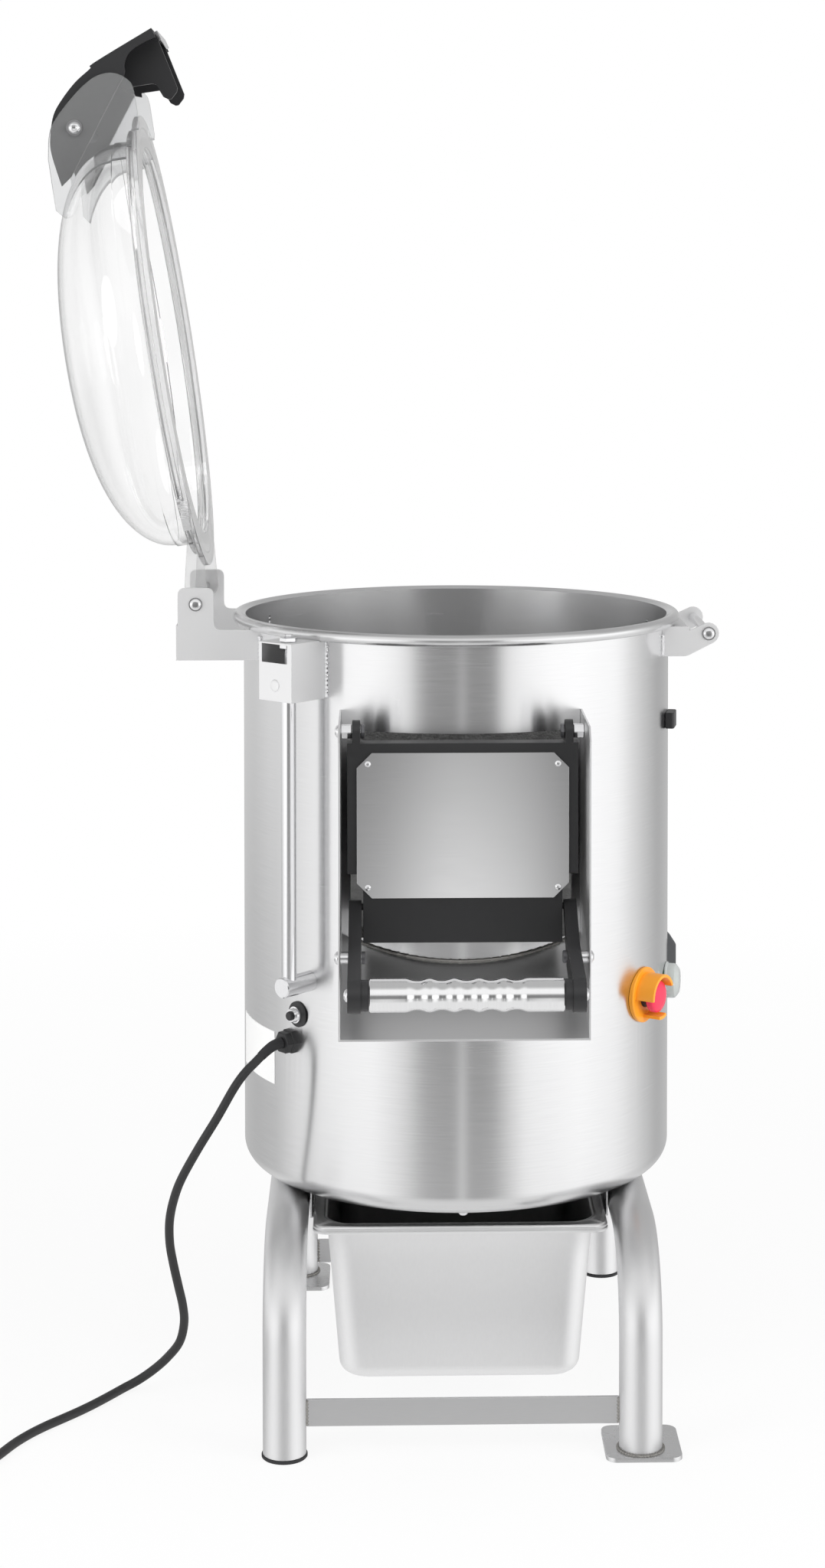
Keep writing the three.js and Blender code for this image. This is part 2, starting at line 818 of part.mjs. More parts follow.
function peelPan() {
  const longer = panHalfY - panHalfX;
  const bottomZ = panRimZ - panDepth;
  const bodyHalf = panHalfX - panFlange;
  const ring = (half, corner, z) => panRing(half, half + longer, corner, z);
  const floorHalf = bodyHalf - panTaper;
  const bend = panFillet * 0.29;
  const lip = panWall;
  return skin([
    ring(floorHalf - panFillet, panCorner - panFillet, bottomZ),
    ring(floorHalf - bend, panCorner - bend, bottomZ + bend),
    ring(floorHalf, panCorner, bottomZ + panFillet),
    ring(bodyHalf, panCorner, panRimZ - lip),
    ring(panHalfX - lip, panCorner + panFlange / 2, panRimZ - lip),
    ring(panHalfX - lip, panCorner + panFlange / 2, panRimZ - panRimDrop),
    ring(panHalfX, panCorner + panFlange / 2, panRimZ - panRimDrop),
    ring(panHalfX, panCorner + panFlange / 2, panRimZ - lip),
    ring(panHalfX - lip, panCorner + panFlange / 2, panRimZ),
    ring(bodyHalf - lip, panCorner - lip, panRimZ),
    ring(floorHalf - lip, panCorner - lip, bottomZ + panFillet),
    ring(floorHalf - bend - lip, panCorner - bend - lip, bottomZ + bend + lip * 0.7),
    ring(floorHalf - panFillet, panCorner - panFillet, bottomZ + lip),
  ]);
}

const railFlangeEnd = panHalfX + railClearance + railThickness - railLip;

function panRail(side) {
  const outer = panHalfX + railClearance + railThickness;
  const inner = outer - railThickness;
  const topZ = drumBottomZ - seatGap;
  const lipTopZ = panRimZ - panRimDrop - seatGap;
  const lipZ = lipTopZ - railThickness;
  const outline = [
    [railFlangeEnd, topZ], [railFlangeEnd, topZ - railThickness], [inner, topZ - railThickness],
    [inner, lipTopZ], [railFlangeEnd, lipTopZ], [railFlangeEnd, lipZ], [outer, lipZ], [outer, topZ],
  ];
  const rail = prismY(outline, -railHalfLength, railHalfLength);
  return side > 0 ? rail : mirroredX(rail);
}

// Chamber and drive

function chamberFloor() {
  const top = chamberFloorZ + chamberFloorThickness;
  const edge = drumInner - seatGap;
  const bore = drainRadius - drainWall;
  const disc = revolve([[shaftFlange + overrun, chamberFloorZ], [edge, chamberFloorZ],
    [edge, top], [shaftFlange + overrun, top]], drumSides);
  const pipe = barZ(drainX, drainY, drainRadius, drainEndZ, top, 20);
  return join(disc, pipe).subtract(barZ(drainX, drainY, bore, drainEndZ - overrun, top + overrun, 20));
}

// The cover, with flats where the rails stand closer than its edge.
function bottomCover() {
  const top = drumBottomZ - seatGap;
  const low = top - coverThickness;
  const flat = railFlangeEnd - seatGap;
  const between = block([-flat, -coverRadius, low - overrun], [flat, coverRadius, top + overrun]);
  const plate = barZ(0, 0, coverRadius, low, top, 36).intersect(between);
  return plate.subtract(barZ(drainX, drainY, drainRadius + seatGap, low - overrun, top + overrun, 20));
}

function abrasiveLiner() {
  const outer = drumInner - seatGap;
  const inner = outer - linerThickness;
  const sleeve = revolve([[inner, linerBottomZ], [outer, linerBottomZ],
    [outer, linerTopZ], [inner, linerTopZ]], drumSides);
  const gap = block(
    [-openingHalfWidth, -drumRadius, linerBottomZ - overrun],
    [openingHalfWidth, -drumRadius / 2, linerTopZ + overrun],
  );
  return sleeve.subtract(gap);
}

// A disc whose top rises in radial waves, with a knob in the middle and two sweeper
// blades under it.
function turntable() {
  const sides = 36;
  const loop = (radius, height) => Array.from({ length: sides }, (_, side) => {
    const angle = 2 * Math.PI * side / sides;
    return [radius * Math.cos(angle), radius * Math.sin(angle), height(angle)];
  });
  const low = () => turntableZ;
  const edge = () => turntableZ + turntableEdge;
  const wave = (share) => (angle) => {
    const swell = Math.max(Math.cos(turntableWaves * angle), 0) ** 2;
    return turntableZ + turntableEdge + turntableCrown * (1 - share) + turntableHump * swell * share;
  };
  const flat = () => turntableZ + turntableEdge + turntableCrown;
  const disc = skin([
    loop(hubKnobRadius, low),
    loop(turntableRadius, low),
    loop(turntableRadius, edge),
    loop(turntableRadius * turntableShares[0], wave(turntableSwellShares[0])),
    loop(turntableRadius * turntableShares[1], wave(turntableSwellShares[1])),
    loop(turntableRadius * turntableShares[2], wave(turntableSwellShares[2])),
    loop(hubKnobRadius * hubFootShare, wave(turntableSwellShares[3])),
    loop(hubKnobRadius, flat),
  ]);
  const knobZ = flat();
  const knob = revolve([
    [0, knobZ - turntableCrown], [hubKnobRadius, knobZ - turntableCrown],
    [hubKnobRadius, knobZ + hubKnobHeight / 2],
    [hubKnobRadius / 2, knobZ + hubKnobHeight], [0, knobZ + hubKnobHeight],
  ], 18);
  const blade = (side) => block(
    [side > 0 ? shaftFlange + overrun : -turntableRadius + overrun, -sweeperThickness / 2,
      turntableZ - sweeperHeight],
    [side > 0 ? turntableRadius - overrun : -shaftFlange - overrun, sweeperThickness / 2,
      turntableZ + turntableEdge / 2],
  );
  return join(disc, knob, blade(1), blade(-1));
}

// The shaft, its drive flange under the turntable, and its pulley.
function mainShaft() {
  const shaftTop = turntableZ - seatGap;
  const flangeZ = shaftTop - sweeperHeight;
  const shaft = revolve([
    [0, shaftBottomZ], [shaftRadius, shaftBottomZ], [shaftRadius, flangeZ],
    [shaftFlange, flangeZ], [shaftFlange, shaftTop], [0, shaftTop],
  ], 20);
  return join(shaft, grooveWheel(largePulleyRadius, 32));
}

function grooveWheel(radius, sides) {
  const top = pulleyBottomZ + pulleyHeight;
  const middle = pulleyBottomZ + pulleyHeight / 2;
  const root = radius - grooveDepth;
  return revolve([
    [0, pulleyBottomZ], [radius, pulleyBottomZ], [radius, pulleyBottomZ + pulleyLip],
    [root, middle - beltHeight / 2 - seatGap], [root, middle + beltHeight / 2 + seatGap],
    [radius, top - pulleyLip], [radius, top], [0, top],
  ], sides);
}

function motorPulley() {
  const spindle = barZ(0, 0, motorShaftRadius, pulleyBottomZ, motorBottomZ + pulleyHeight, 14);
  return moved(join(grooveWheel(smallPulleyRadius, 18), spindle), 0, motorOffset, 0);
}

function driveBelt() {
  const middle = pulleyBottomZ + pulleyHeight / 2;
  const steps = 18;
  const slack = 1 / Math.cos(180 / steps * degree);
  const around = (grow) => linkOutline(
    [0, 0, (largePulleyRadius - grooveDepth + seatGap) * slack + grow],
    [0, motorOffset, (smallPulleyRadius - grooveDepth + seatGap) * slack + grow],
    steps,
  );
  const low = middle - beltHeight / 2;
  return prismZ(around(beltDepth), low, low + beltHeight)
    .subtract(prismZ(around(0), low - overrun, low + beltHeight + overrun));
}

function bearingHousing() {
  const bore = shaftRadius + runGap;
  const top = chamberFloorZ - seatGap;
  const shoulder = top - housingFlangeThickness;
  return revolve([
    [bore, housingBottomZ], [housingRadius, housingBottomZ], [housingRadius, shoulder],
    [housingFlange, shoulder], [housingFlange, top], [bore, top],
  ], 28);
}

function motor() {
  const top = chamberFloorZ - seatGap;
  const flangeZ = top - motorFlangeThickness;
  const can = revolve([
    [0, motorBottomZ], [motorRadius / 2, motorBottomZ], [motorRadius, motorBottomZ + motorFlangeThickness],
    [motorRadius, flangeZ], [motorRadius, top], [0, top],
  ], 28);
  const box = block(
    [-motorRadius / 2, motorRadius / 2, motorBottomZ + motorRadius],
    [motorRadius / 2, motorRadius * 1.3, motorBottomZ + motorRadius * 2],
  );
  const bore = barZ(0, 0, motorShaftRadius + runGap, motorBottomZ - overrun,
    motorBottomZ + pulleyHeight + overrun, 14);
  return moved(join(can, box).subtract(bore), 0, motorOffset, 0);
}

// The relay block that the lid switch and the stop button act on.
function contactorBox() {
  const low = drumBottomZ + drumWall + seatGap;
  const left = largePulleyRadius + grooveDepth;
  const corners = rounded([
    [left, -contactorLength / 2, drumWall],
    [left + contactorWidth, -contactorLength / 2, drumWall],
    [left + contactorWidth, contactorLength / 2, drumWall],
    [left, contactorLength / 2, drumWall],
  ], 1);
  return prismZ(corners, low, low + contactorHeight);
}

// Discharge

const chuteSlope = chuteFloorRise / chuteFloorReach;

// The top of the chute's floor at a Y.
function chuteFloorZ(y) {
  return chuteFloorFrontZ + (y - chuteFrontY) * chuteSlope;
}

function dischargeChute() {
  const backY = -Math.sqrt(drumRadius ** 2 - chuteHalfWidth ** 2) + overrun;
  const sheet = chuteSheet * Math.hypot(1, chuteSlope);
  const inwardY = -drumRadius / 2;
  const outline = [
    [inwardY, chuteTopZ], [chuteFrontY + chuteChamfer, chuteTopZ],
    [chuteFrontY, chuteTopZ - chuteChamfer], [chuteFrontY, chuteFloorFrontZ - sheet],
    [inwardY, chuteFloorZ(inwardY) - sheet],
  ];
  const side = prismX(outline, chuteHalfWidth - chuteSheet, chuteHalfWidth);
  const floor = prismX([
    [inwardY, chuteFloorZ(inwardY)], [inwardY, chuteFloorZ(inwardY) - sheet],
    [chuteFrontY, chuteFloorFrontZ - sheet], [chuteFrontY, chuteFloorFrontZ],
  ], -chuteHalfWidth, chuteHalfWidth);
  const hinge = barX(doorHingeY, doorHingeZ, boltShank + runGap,
    -chuteHalfWidth - overrun, chuteHalfWidth + overrun, 10);
  const pivot = barX(leverPivotY, leverPivotZ, pivotBoltShank + runGap,
    -chuteHalfWidth - overrun, chuteHalfWidth + overrun, 10);
  return join(side, mirroredX(side), floor)
    .subtract(wallCutter)
    .subtract(block([-drumRadius, backY, 0], [drumRadius, drumRadius, chuteTopZ + overrun]))
    .subtract(hinge)
    .subtract(pivot);
}

// Where the arm's pin slides in the door, in the door's rest position.
const pinSlotLowZ = leverTipZ - armPinRadius - seatGap;

function doorPanel() {
  const backY = doorFaceY + doorThickness;
  const plugLow = doorBottomZ + doorPlugMargin;
  const plugHigh = doorTopZ - doorPlugMargin;
  const slab = block([-doorHalfWidth, doorFaceY, doorBottomZ], [doorHalfWidth, backY, doorTopZ]);
  const plug = block(
    [-doorPlugHalfWidth, backY - overrun, plugLow],
    [doorPlugHalfWidth, -drumRadius / 2, plugHigh],
  ).subtract(barZ(0, 0, doorPlugRadius, plugLow - overrun, plugHigh + overrun, drumSides));
  const ear = prismX(
    linkOutline([doorHingeY, doorHingeZ, doorEarRadius], [doorHingeY, doorTopZ - doorEarRadius, doorEarRadius], 8),
    doorEarX - doorEarThickness / 2, doorEarX + doorEarThickness / 2,
  );
  const notch = block(
    [armX - armThickness / 2 - runGap * 6, doorFaceY - overrun, doorBottomZ - overrun],
    [doorHalfWidth + overrun, backY + overrun, doorBottomZ + doorNotchHeight],
  );
  const slotX = armX - armThickness / 2 - armPinLength - seatGap;
  const slot = block(
    [slotX, leverTipY - armPinSlotWidth / 2 + armPinSlotShift, pinSlotLowZ],
    [doorHalfWidth, leverTipY + armPinSlotWidth / 2 + armPinSlotShift,
      leverTipZ + armPinSlotRise + armPinRadius],
  );
  const bore = barX(doorHingeY, doorHingeZ, boltShank + runGap, -doorHalfWidth, doorHalfWidth, 10);
  return join(slab, plug, ear, mirroredX(ear))
    .subtract(notch).subtract(mirroredX(notch))
    .subtract(slot).subtract(mirroredX(slot))
    .subtract(bore);
}

function doorPlate() {
  const front = doorFaceY - seatGap - doorPlateThickness;
  const bottom = doorPlateBottomZ;
  const top = doorPlateTopZ;
  const half = doorPlateHalfWidth;
  const cut = doorPlateCorner;
  const sheet = prismY([
    [-half + cut, bottom], [half - cut, bottom], [half, bottom + cut], [half, top - cut],
    [half - cut, top], [-half + cut, top], [-half, top - cut], [-half, bottom + cut],
  ], front, front + doorPlateThickness);
  const screws = [-1, 1].flatMap((side) => [bottom + plateScrewInset, top - plateScrewInset].map(
    (z) => barY(side * (half - plateScrewInset), z, plateScrewRadius, front - plateScrewHeight,
      front + doorPlateThickness, 10),
  ));
  return join(sheet, ...screws);
}

// The bolt, hexagonal spacer and nut on which the door hangs, on the +X side.
function doorPivot() {
  const inside = chuteHalfWidth - chuteSheet - seatGap;
  const outside = chuteHalfWidth + seatGap;
  const earOut = doorEarX + doorEarThickness / 2 + seatGap;
  const earIn = doorEarX - doorEarThickness / 2 - seatGap;
  const nutEnd = earIn - boltHeadHeight;
  const head = revolveX([[0, outside], [boltHeadRadius, outside],
    [boltHeadRadius * boltCrownShare, outside + boltHeadHeight], [0, outside + boltHeadHeight]], 12);
  const shank = revolveX([[0, nutEnd], [boltShank, nutEnd], [boltShank, outside], [0, outside]], 10);
  const whole = join(head, shank, hexX(spacerAcross, earOut, inside), hexX(spacerAcross, nutEnd, earIn));
  return moved(whole, 0, doorHingeY, doorHingeZ);
}

function doorArm() {
  const inner = armX - armThickness / 2;
  const outer = armX + armThickness / 2;
  const pivot = [leverPivotY, leverPivotZ, armPivotRadius];
  const tip = prismX(linkOutline(pivot, [leverTipY, leverTipZ, armTipRadius], 7), inner, outer);
  const tail = prismX(linkOutline(pivot, [gripY, gripZ, armGripRadius], 7), inner, outer);
  const spacer = barX(leverPivotY, leverPivotZ, armSpacerRadius, inner, chuteHalfWidth - chuteSheet - runGap * 2, 14);
  const pin = barX(leverTipY, leverTipZ, armPinRadius, inner - armPinLength, outer, 10);
  const collar = barX(gripY, gripZ, gripRadius * collarShare, inner - gripCollar + seatGap, inner + overrun, 16);
  const bolt = barX(gripY, gripZ, boltHeadRadius, outer - overrun, outer + boltHeadHeight, 12);
  const bore = barX(leverPivotY, leverPivotZ, pivotBoltShank + runGap, inner - overrun, chuteHalfWidth, 12);
  return join(tip, tail, spacer, pin, collar, bolt).subtract(bore);
}

function leverPivot() {
  const inner = armX - armThickness / 2;
  const outside = chuteHalfWidth + seatGap;
  const bolt = revolveX([
    [0, inner - boltHeadHeight - seatGap], [boltHeadRadius, inner - boltHeadHeight - seatGap],
    [boltHeadRadius, inner - seatGap], [pivotBoltShank, inner - seatGap], [pivotBoltShank, outside],
    [boltHeadRadius, outside], [boltHeadRadius * boltCrownShare, outside + boltHeadHeight],
    [0, outside + boltHeadHeight],
  ], 12);
  return moved(bolt, 0, leverPivotY, leverPivotZ);
}

// The ribbed grip: waists between ridges in the middle, plain ends.
function leverGrip() {
  const half = gripLength / 2;
  const wavy = gripWaists * gripPitch / 2;
  const stations = gripWaists * 4;
  const wave = Array.from({ length: stations + 1 }, (_, step) => {
    const x = -wavy + 2 * wavy * step / stations;
    return [gripRadius - gripWaist * Math.cos(Math.PI * x / gripPitch) ** 2, x];
  });
  const grip = revolveX([[0, -half], [gripRadius, -half], ...wave, [gripRadius, half], [0, half]], 14);
  return moved(grip, 0, gripY, gripZ);
}

// Lid hinge on the drum

function hingeBracket() {
  const left = hingeX - hingeArmHalf;
  const right = hingeX + hingeArmHalf;
  const inner = hingePlateY - hingePlateThickness / 2;
  const outer = hingePlateY + hingePlateThickness / 2;
  const plateOutline = rounded([
    [left, hingeBottomZ, 0], [-drumRadius / 2, hingeBottomZ, 0], [-drumRadius / 2, hingeShelfZ, 0],
    [right, hingeShelfZ, hingeArmCorner], [right, hingeArmTopZ, hingeArmCorner],
    [left, hingeArmTopZ, hingeArmCorner],
  ], 4);
  const plate = prismY(plateOutline, inner, outer);
  const wall = block(
    [left - hingePlateThickness / 2, -outer, hingeBottomZ],
    [left + hingePlateThickness / 2, outer, hingeWallTopZ],
  );
  const bore = barY(hingeX, hingeZ, boltShank + runGap, -outer - overrun, outer + overrun, 10);
  return join(plate, mirroredY(plate), wall).subtract(wallCutter).subtract(bore);
}

// A rod with a domed head and a washer at both ends, along Y.
function crossPin(radius, halfLength, shank) {
  const head = halfLength + washerThickness + boltHeadHeight;
  const half = [
    [shank, halfLength], [washerRadius, halfLength],
    [washerRadius, halfLength + washerThickness],
    [boltHeadRadius, halfLength + washerThickness], [boltHeadRadius * boltCrownShare, head],
  ];
  const mirrored = half.map(([r, y]) => [r, -y]).reverse();
  const middle = radius > shank
    ? [[shank, -catchInner()], [radius, -catchInner()], [radius, catchInner()], [shank, catchInner()]]
    : [];
  const profile = [[0, -head], ...mirrored, ...middle, ...half, [0, head]];
  return turned(revolve(profile, 14), 90, 0, 0);
}

function catchInner() {
  return catchPlateY - catchPlateThickness / 2 - seatGap;
}

function lidHingePin() {
  const reach = hingePlateY + hingePlateThickness / 2 + seatGap;
  return moved(crossPin(boltShank, reach, boltShank), hingeX, 0, hingeZ);
}

// Catch on the drum

function latchBracket() {
  const inner = catchPlateY - catchPlateThickness / 2;
  const outer = catchPlateY + catchPlateThickness / 2;
  const wallX = drumRadius / 2;
  const tangent = catchEyeRadius * catchTangentShare;
  const notchZ = catchTopZ - catchNotchDrop;
  const outline = [
    [wallX, catchBottomZ], [catchNotchX - tangent / 2, catchBottomZ],
    [catchNotchX, catchBottomZ + catchPlateThickness / 3],
    ...arc(catchX, catchZ, catchEyeRadius, -60, 125, 9),
    [catchNotchX, notchZ], [catchNotchX, catchTopZ], [wallX, catchTopZ],
  ];
  const plate = prismY(outline, inner, outer);
  const webRise = catchZ + catchEyeRadius - notchZ;
  const webEndX = catchNotchX + catchWeb;
  const web = prismY([
    [catchNotchX - catchEyeRadius, notchZ - webRise / 2], [webEndX, notchZ - catchWeb],
    [webEndX, notchZ], [catchNotchX - catchEyeRadius, notchZ],
  ], -inner - overrun / 2, inner + overrun / 2);
  const bore = barY(catchX, catchZ, boltShank + runGap, -outer - overrun, outer + overrun, 10);
  return join(plate, mirroredY(plate), web).subtract(wallCutter).subtract(bore);
}

function catchPin() {
  const reach = catchPlateY + catchPlateThickness / 2 + seatGap;
  return moved(crossPin(catchPinRadius, reach, boltShank), catchX, 0, catchZ);
}

// Lid, drawn closed on the drum

const lidZ = rimCentreZ + rimBead + lidRestGap;

function lidRing() {
  const ring = revolve([
    [lidInnerRadius, lidZ], [lidOuterRadius, lidZ], [lidOuterRadius, lidZ + lidFlange],
    [lidLipRadius, lidZ + lidFlange], [lidLipRadius, lidZ + lidLipHeight],
    [lidSeatRadius, lidZ + lidLipHeight], [lidSeatRadius, lidZ + lidSeatHeight],
    [lidInnerRadius, lidZ + lidSeatHeight],
  ], lidSides);
  const lugOuter = hingePlateY - hingePlateThickness / 2 - runGap * 4;
  const outline = [
    ...arc(hingeX, hingeZ, lugEyeRadius, 90, 270, 8),
    [-lidOuterRadius * lugRootShare, lidZ + lidRestGap], [lugEndX, lidZ + lidRestGap],
    [lugEndX, lidZ + lidLipHeight + lugEndDrop],
    [-lidLipRadius, lidZ + lidLipHeight + lugThickness],
  ];
  const lug = prismY(outline, lugOuter - lugThickness, lugOuter);
  const bore = barY(hingeX, hingeZ, boltShank + runGap, -hingePlateY, hingePlateY, 10);
  return join(ring, lug, mirroredY(lug)).subtract(bore);
}

// The dome's section is a superellipse on a short upright skirt.
function domeCurve(radius, rise, skirtTop, steps) {
  return Array.from({ length: steps + 1 }, (_, step) => {
    const angle = 90 * degree * (1 - step / steps);
    return [radius * Math.sin(angle) ** (2 / domePower), skirtTop + rise * Math.cos(angle)];
  }).map(([r, z], step) => [step === steps ? 0 : r, z]);
}

function lidDome() {
  const foot = lidZ + lidSeatHeight + seatGap;
  const skirtTop = lidZ + domeSkirt;
  const outside = domeCurve(domeRadius, domeRise, skirtTop, 7);
  const inside = domeCurve(domeRadius - domeWall, domeRise - domeWall, skirtTop, 5).reverse();
  const footOut = lidSeatRadius - seatGap;
  const dome = revolve([
    ...outside.reverse(),
    [domeRadius, foot + domeWall], [footOut, foot + domeWall], [footOut, foot],
    [domeFootRadius, foot], [domeFootRadius, foot + domeWall],
    [domeRadius - domeWall, foot + domeWall], ...inside.reverse(),
  ], lidSides);
  return dome;
}

// The lid's outside, filled and grown by a gap, for what stands on it.
function lidEnvelope() {
  const gap = seatGap;
  const outside = domeCurve(domeRadius + gap, domeRise + gap, lidZ + domeSkirt, 7).reverse();
  return revolve([
    ...outside, [lidLipRadius + gap, lidZ + domeSkirt - overrun * 4],
    [lidLipRadius + gap, lidZ + lidFlange + gap], [lidOuterRadius + gap, lidZ + lidFlange + gap],
    [lidOuterRadius + gap, lidZ - overrun * 3], [0, lidZ - overrun * 3],
  ], lidSides);
}

// Outline points of a latch ear, as shares of its reach and drop from the pivot.
const earShares = [
  [-1.79, 0.36], [-1.6, 0.485], [-0.55, 0.48], [-0.04, 0.4], [0.26, 0.25], [0.6, -0.02],
  [0.825, -0.24], [0.97, -0.45], [1, -0.663], [0.913, -0.842], [0.738, -0.97], [0.536, -1],
  [-0.1, -1], [-1.79, -0.8],
];

function latchEar() {
  const inner = latchHalfWidth + earGap;
  const outline = earShares.map(([x, z]) => [latchPivotX + x * earReach, latchPivotZ + z * earDrop]);
  const plate = prismY(outline, inner, inner + earThickness);
  const bore = barY(latchPivotX, latchPivotZ, boltShank + runGap, inner - overrun,
    inner + earThickness + overrun, 10);
  return plate.subtract(lidEnvelope()).subtract(bore);
}

// The bolt that carries one side of the latch lever, on the +Y side.
function latchBolt() {
  const inside = latchHalfWidth - latchFlange - seatGap;
  const outside = latchHalfWidth + earGap + earThickness + seatGap;
  const washer = outside + washerThickness;
  const bolt = revolve([
    [0, inside - boltHeadHeight], [spacerAcross / 2, inside - boltHeadHeight], [spacerAcross / 2, inside],
    [boltShank, inside], [boltShank, outside], [washerRadius, outside], [washerRadius, washer],
    [boltHeadRadius, washer], [boltHeadRadius * boltCrownShare, washer + boltHeadHeight],
    [0, washer + boltHeadHeight],
  ], 12);
  return moved(turned(bolt, -90, 0, 0), latchPivotX, 0, latchPivotZ);
}

// Latch lever: outline points as shares of its reach and drop from the pivot.
const leverFlangeShares = [
  [-0.634, 0.244], [-0.54, 0.122], [0.402, -0.543], [0.534, -0.634], [0.641, -0.646],
  [0.754, -0.713], [0.829, -0.841], [0.892, -1.03], [1, -1], [0.707, -0.32],
  [0.646, -0.265], [0.513, -0.073], [0.323, 0.116], [0.167, 0.222], [-0.057, 0.285],
  [-0.259, 0.3],
];
const leverWebShares = leverFlangeShares.slice(8, 14);
const hookShares = [
  [0.402, -0.543], [0.62, -0.31], [0.69, -0.35], [0.97, -1], [0.892, -1.03],
  [0.32, -1.16], [0.27, -1.145], [0.2, -1.075], [0.2, -1.04], [0.24, -0.985],
];

function fromLatchPivot(shares) {
  return shares.map(([x, z]) => [latchPivotX + x * latchReach, latchPivotZ + z * latchDrop]);
}

// A band of a thickness along one side of a line of points.
function bandOutline(points, thickness) {
  const line = points.map(([x, y]) => new THREE.Vector2(x, y));
  const inner = line.map((point, at) => {
    const before = line[Math.max(at - 1, 0)];
    const after = line[Math.min(at + 1, line.length - 1)];
    const along = after.clone().sub(before).normalize();
    return point.clone().add(new THREE.Vector2(-along.y, along.x).multiplyScalar(thickness));
  });
  return [...line, ...inner.reverse()].map((point) => [point.x, point.y]);
}

function latchLever() {
  const inner = latchHalfWidth - latchFlange;
  const flange = prismY(fromLatchPivot(leverFlangeShares), inner, latchHalfWidth);
  const web = prismY(bandOutline(fromLatchPivot(leverWebShares), latchWeb), -latchHalfWidth, latchHalfWidth);
  const throat = catchPinRadius + hookClearance;
  const hookInner = hookHalfSpan - latchFlange;
  const mouth = join(
    barY(catchX, catchZ, throat, hookInner - overrun, hookHalfSpan + overrun, 16),
    prismY([
      [catchX, catchZ - throat], [catchX, catchZ + 4 * throat],
      [catchX - 4 * throat, catchZ + 4 * throat],
      [catchX - 4 * throat, catchZ - throat - 4 * throat * hookSlopeShare],
    ], hookInner - overrun, hookHalfSpan + overrun),
    block([catchX - 4 * throat, hookInner - overrun, catchZ],
      [catchX + throat, hookHalfSpan + overrun, catchZ + 3 * throat]),
  );
  const hook = prismY(fromLatchPivot(hookShares), hookInner, hookHalfSpan).subtract(mouth);
  const bore = barY(latchPivotX, latchPivotZ, boltShank + runGap, -latchHalfWidth - overrun,
    latchHalfWidth + overrun, 10);
  return join(flange, mirroredY(flange), web, hook, mirroredY(hook)).subtract(bore);
}

// Lid switch box, its sensor and wire conduit, drawn with +X out of the wall

function switchBox() {
  const inwardX = drumRadius * boxRootShare;
  const sheet = switchSheet;
  const shell = block([inwardX, -switchBoxHalf, switchBoxBottomZ], [switchBoxOut, switchBoxHalf, switchBoxTopZ]);
  const hollow = block(
    [inwardX - overrun, -switchBoxHalf + sheet, switchBoxBottomZ + sheet],
    [switchBoxOut - sheet, switchBoxHalf - sheet, switchBoxTopZ - sheet],
  );
  const windowTop = switchBoxTopZ - windowDrop;
  const opening = block(
    [switchBoxOut - overrun * 2, windowShift - windowHalf, windowTop - windowHeight],
    [switchBoxOut + overrun, windowShift + windowHalf, windowTop],
  );
  const sensorHole = barZ(sensorOut, sensorAside, sensorRadius + runGap,
    switchBoxTopZ - overrun * 2, switchBoxTopZ + overrun, 12);
  const wireHole = barZ(conduitOut, 0, conduitRadius - conduitWall,
    switchBoxBottomZ - overrun, switchBoxBottomZ + overrun * 2, 12);
  const screwZ = switchBoxBottomZ + windowHeight * windowScrewShare;
  const screw = moved(revolveX([
    [0, switchBoxOut - sheet], [boltHeadRadius, switchBoxOut - sheet],
    [boltHeadRadius, switchBoxOut + sheet / 2], [boltHeadRadius * boltCrownShare, switchBoxOut + sheet],
    [0, switchBoxOut + sheet],
  ], 12), 0, 0, screwZ);
  const box = join(shell.subtract(hollow).subtract(opening).subtract(sensorHole).subtract(wireHole), screw);
  return seatOnWall(box, switchAzimuth);
}

function lidSensor() {
  const nutLow = switchBoxTopZ + seatGap;
  const nutRadius = sensorNutAcross / 2 / Math.cos(30 * degree);
  const barrel = barZ(0, 0, sensorRadius, sensorBottomZ, sensorTopZ, 12);
  const nut = revolve([[0, nutLow], [nutRadius, nutLow], [nutRadius, nutLow + sensorNutHeight],
    [0, nutLow + sensorNutHeight]], 6);
  const lowTop = switchBoxTopZ - switchSheet - seatGap;
  const lowNut = revolve([[0, lowTop - sensorNutHeight], [nutRadius, lowTop - sensorNutHeight],
    [nutRadius, lowTop], [0, lowTop]], 6);
  return moved(join(barrel, nut, lowNut), sensorOut, sensorAside, 0);
}

function wireConduit() {
  const top = switchBoxBottomZ - seatGap;
  const tube = barZ(conduitOut, 0, conduitRadius, conduitBossZ, top, 16);
  const bore = barZ(conduitOut, 0, conduitRadius - conduitWall, conduitBossZ, top + overrun, 10);
  const boss = barX(0, conduitBossZ, conduitBossRadius, drumRadius * bossRootShare, conduitBossOut, 18);
  return seatOnWall(join(tube, boss).subtract(bore), switchAzimuth);
}

// The magnet on a steel strip across the lid's flange, over the sensor.
function lidMagnet() {
  const stripZ = lidZ + lidFlange + seatGap;
  const outer = sensorOut + magnetBlock / 2;
  const strip = block([lidLipRadius + seatGap * 2, -magnetWidth / 2, stripZ],
    [outer, magnetWidth / 2, stripZ + magnetStrip]);
  const magnet = block([lidOuterRadius + overrun, -magnetWidth / 2, lidZ],
    [outer, magnetWidth / 2, stripZ + magnetStrip]);
  const bolt = barZ((lidLipRadius + lidOuterRadius) / 2 + overrun, 0, boltHeadRadius * stripBoltShare, stripZ,
    stripZ + magnetStrip + boltHeadHeight, 10);
  return join(strip, magnet, bolt);
}

// Controls, drawn with +X out of the wall

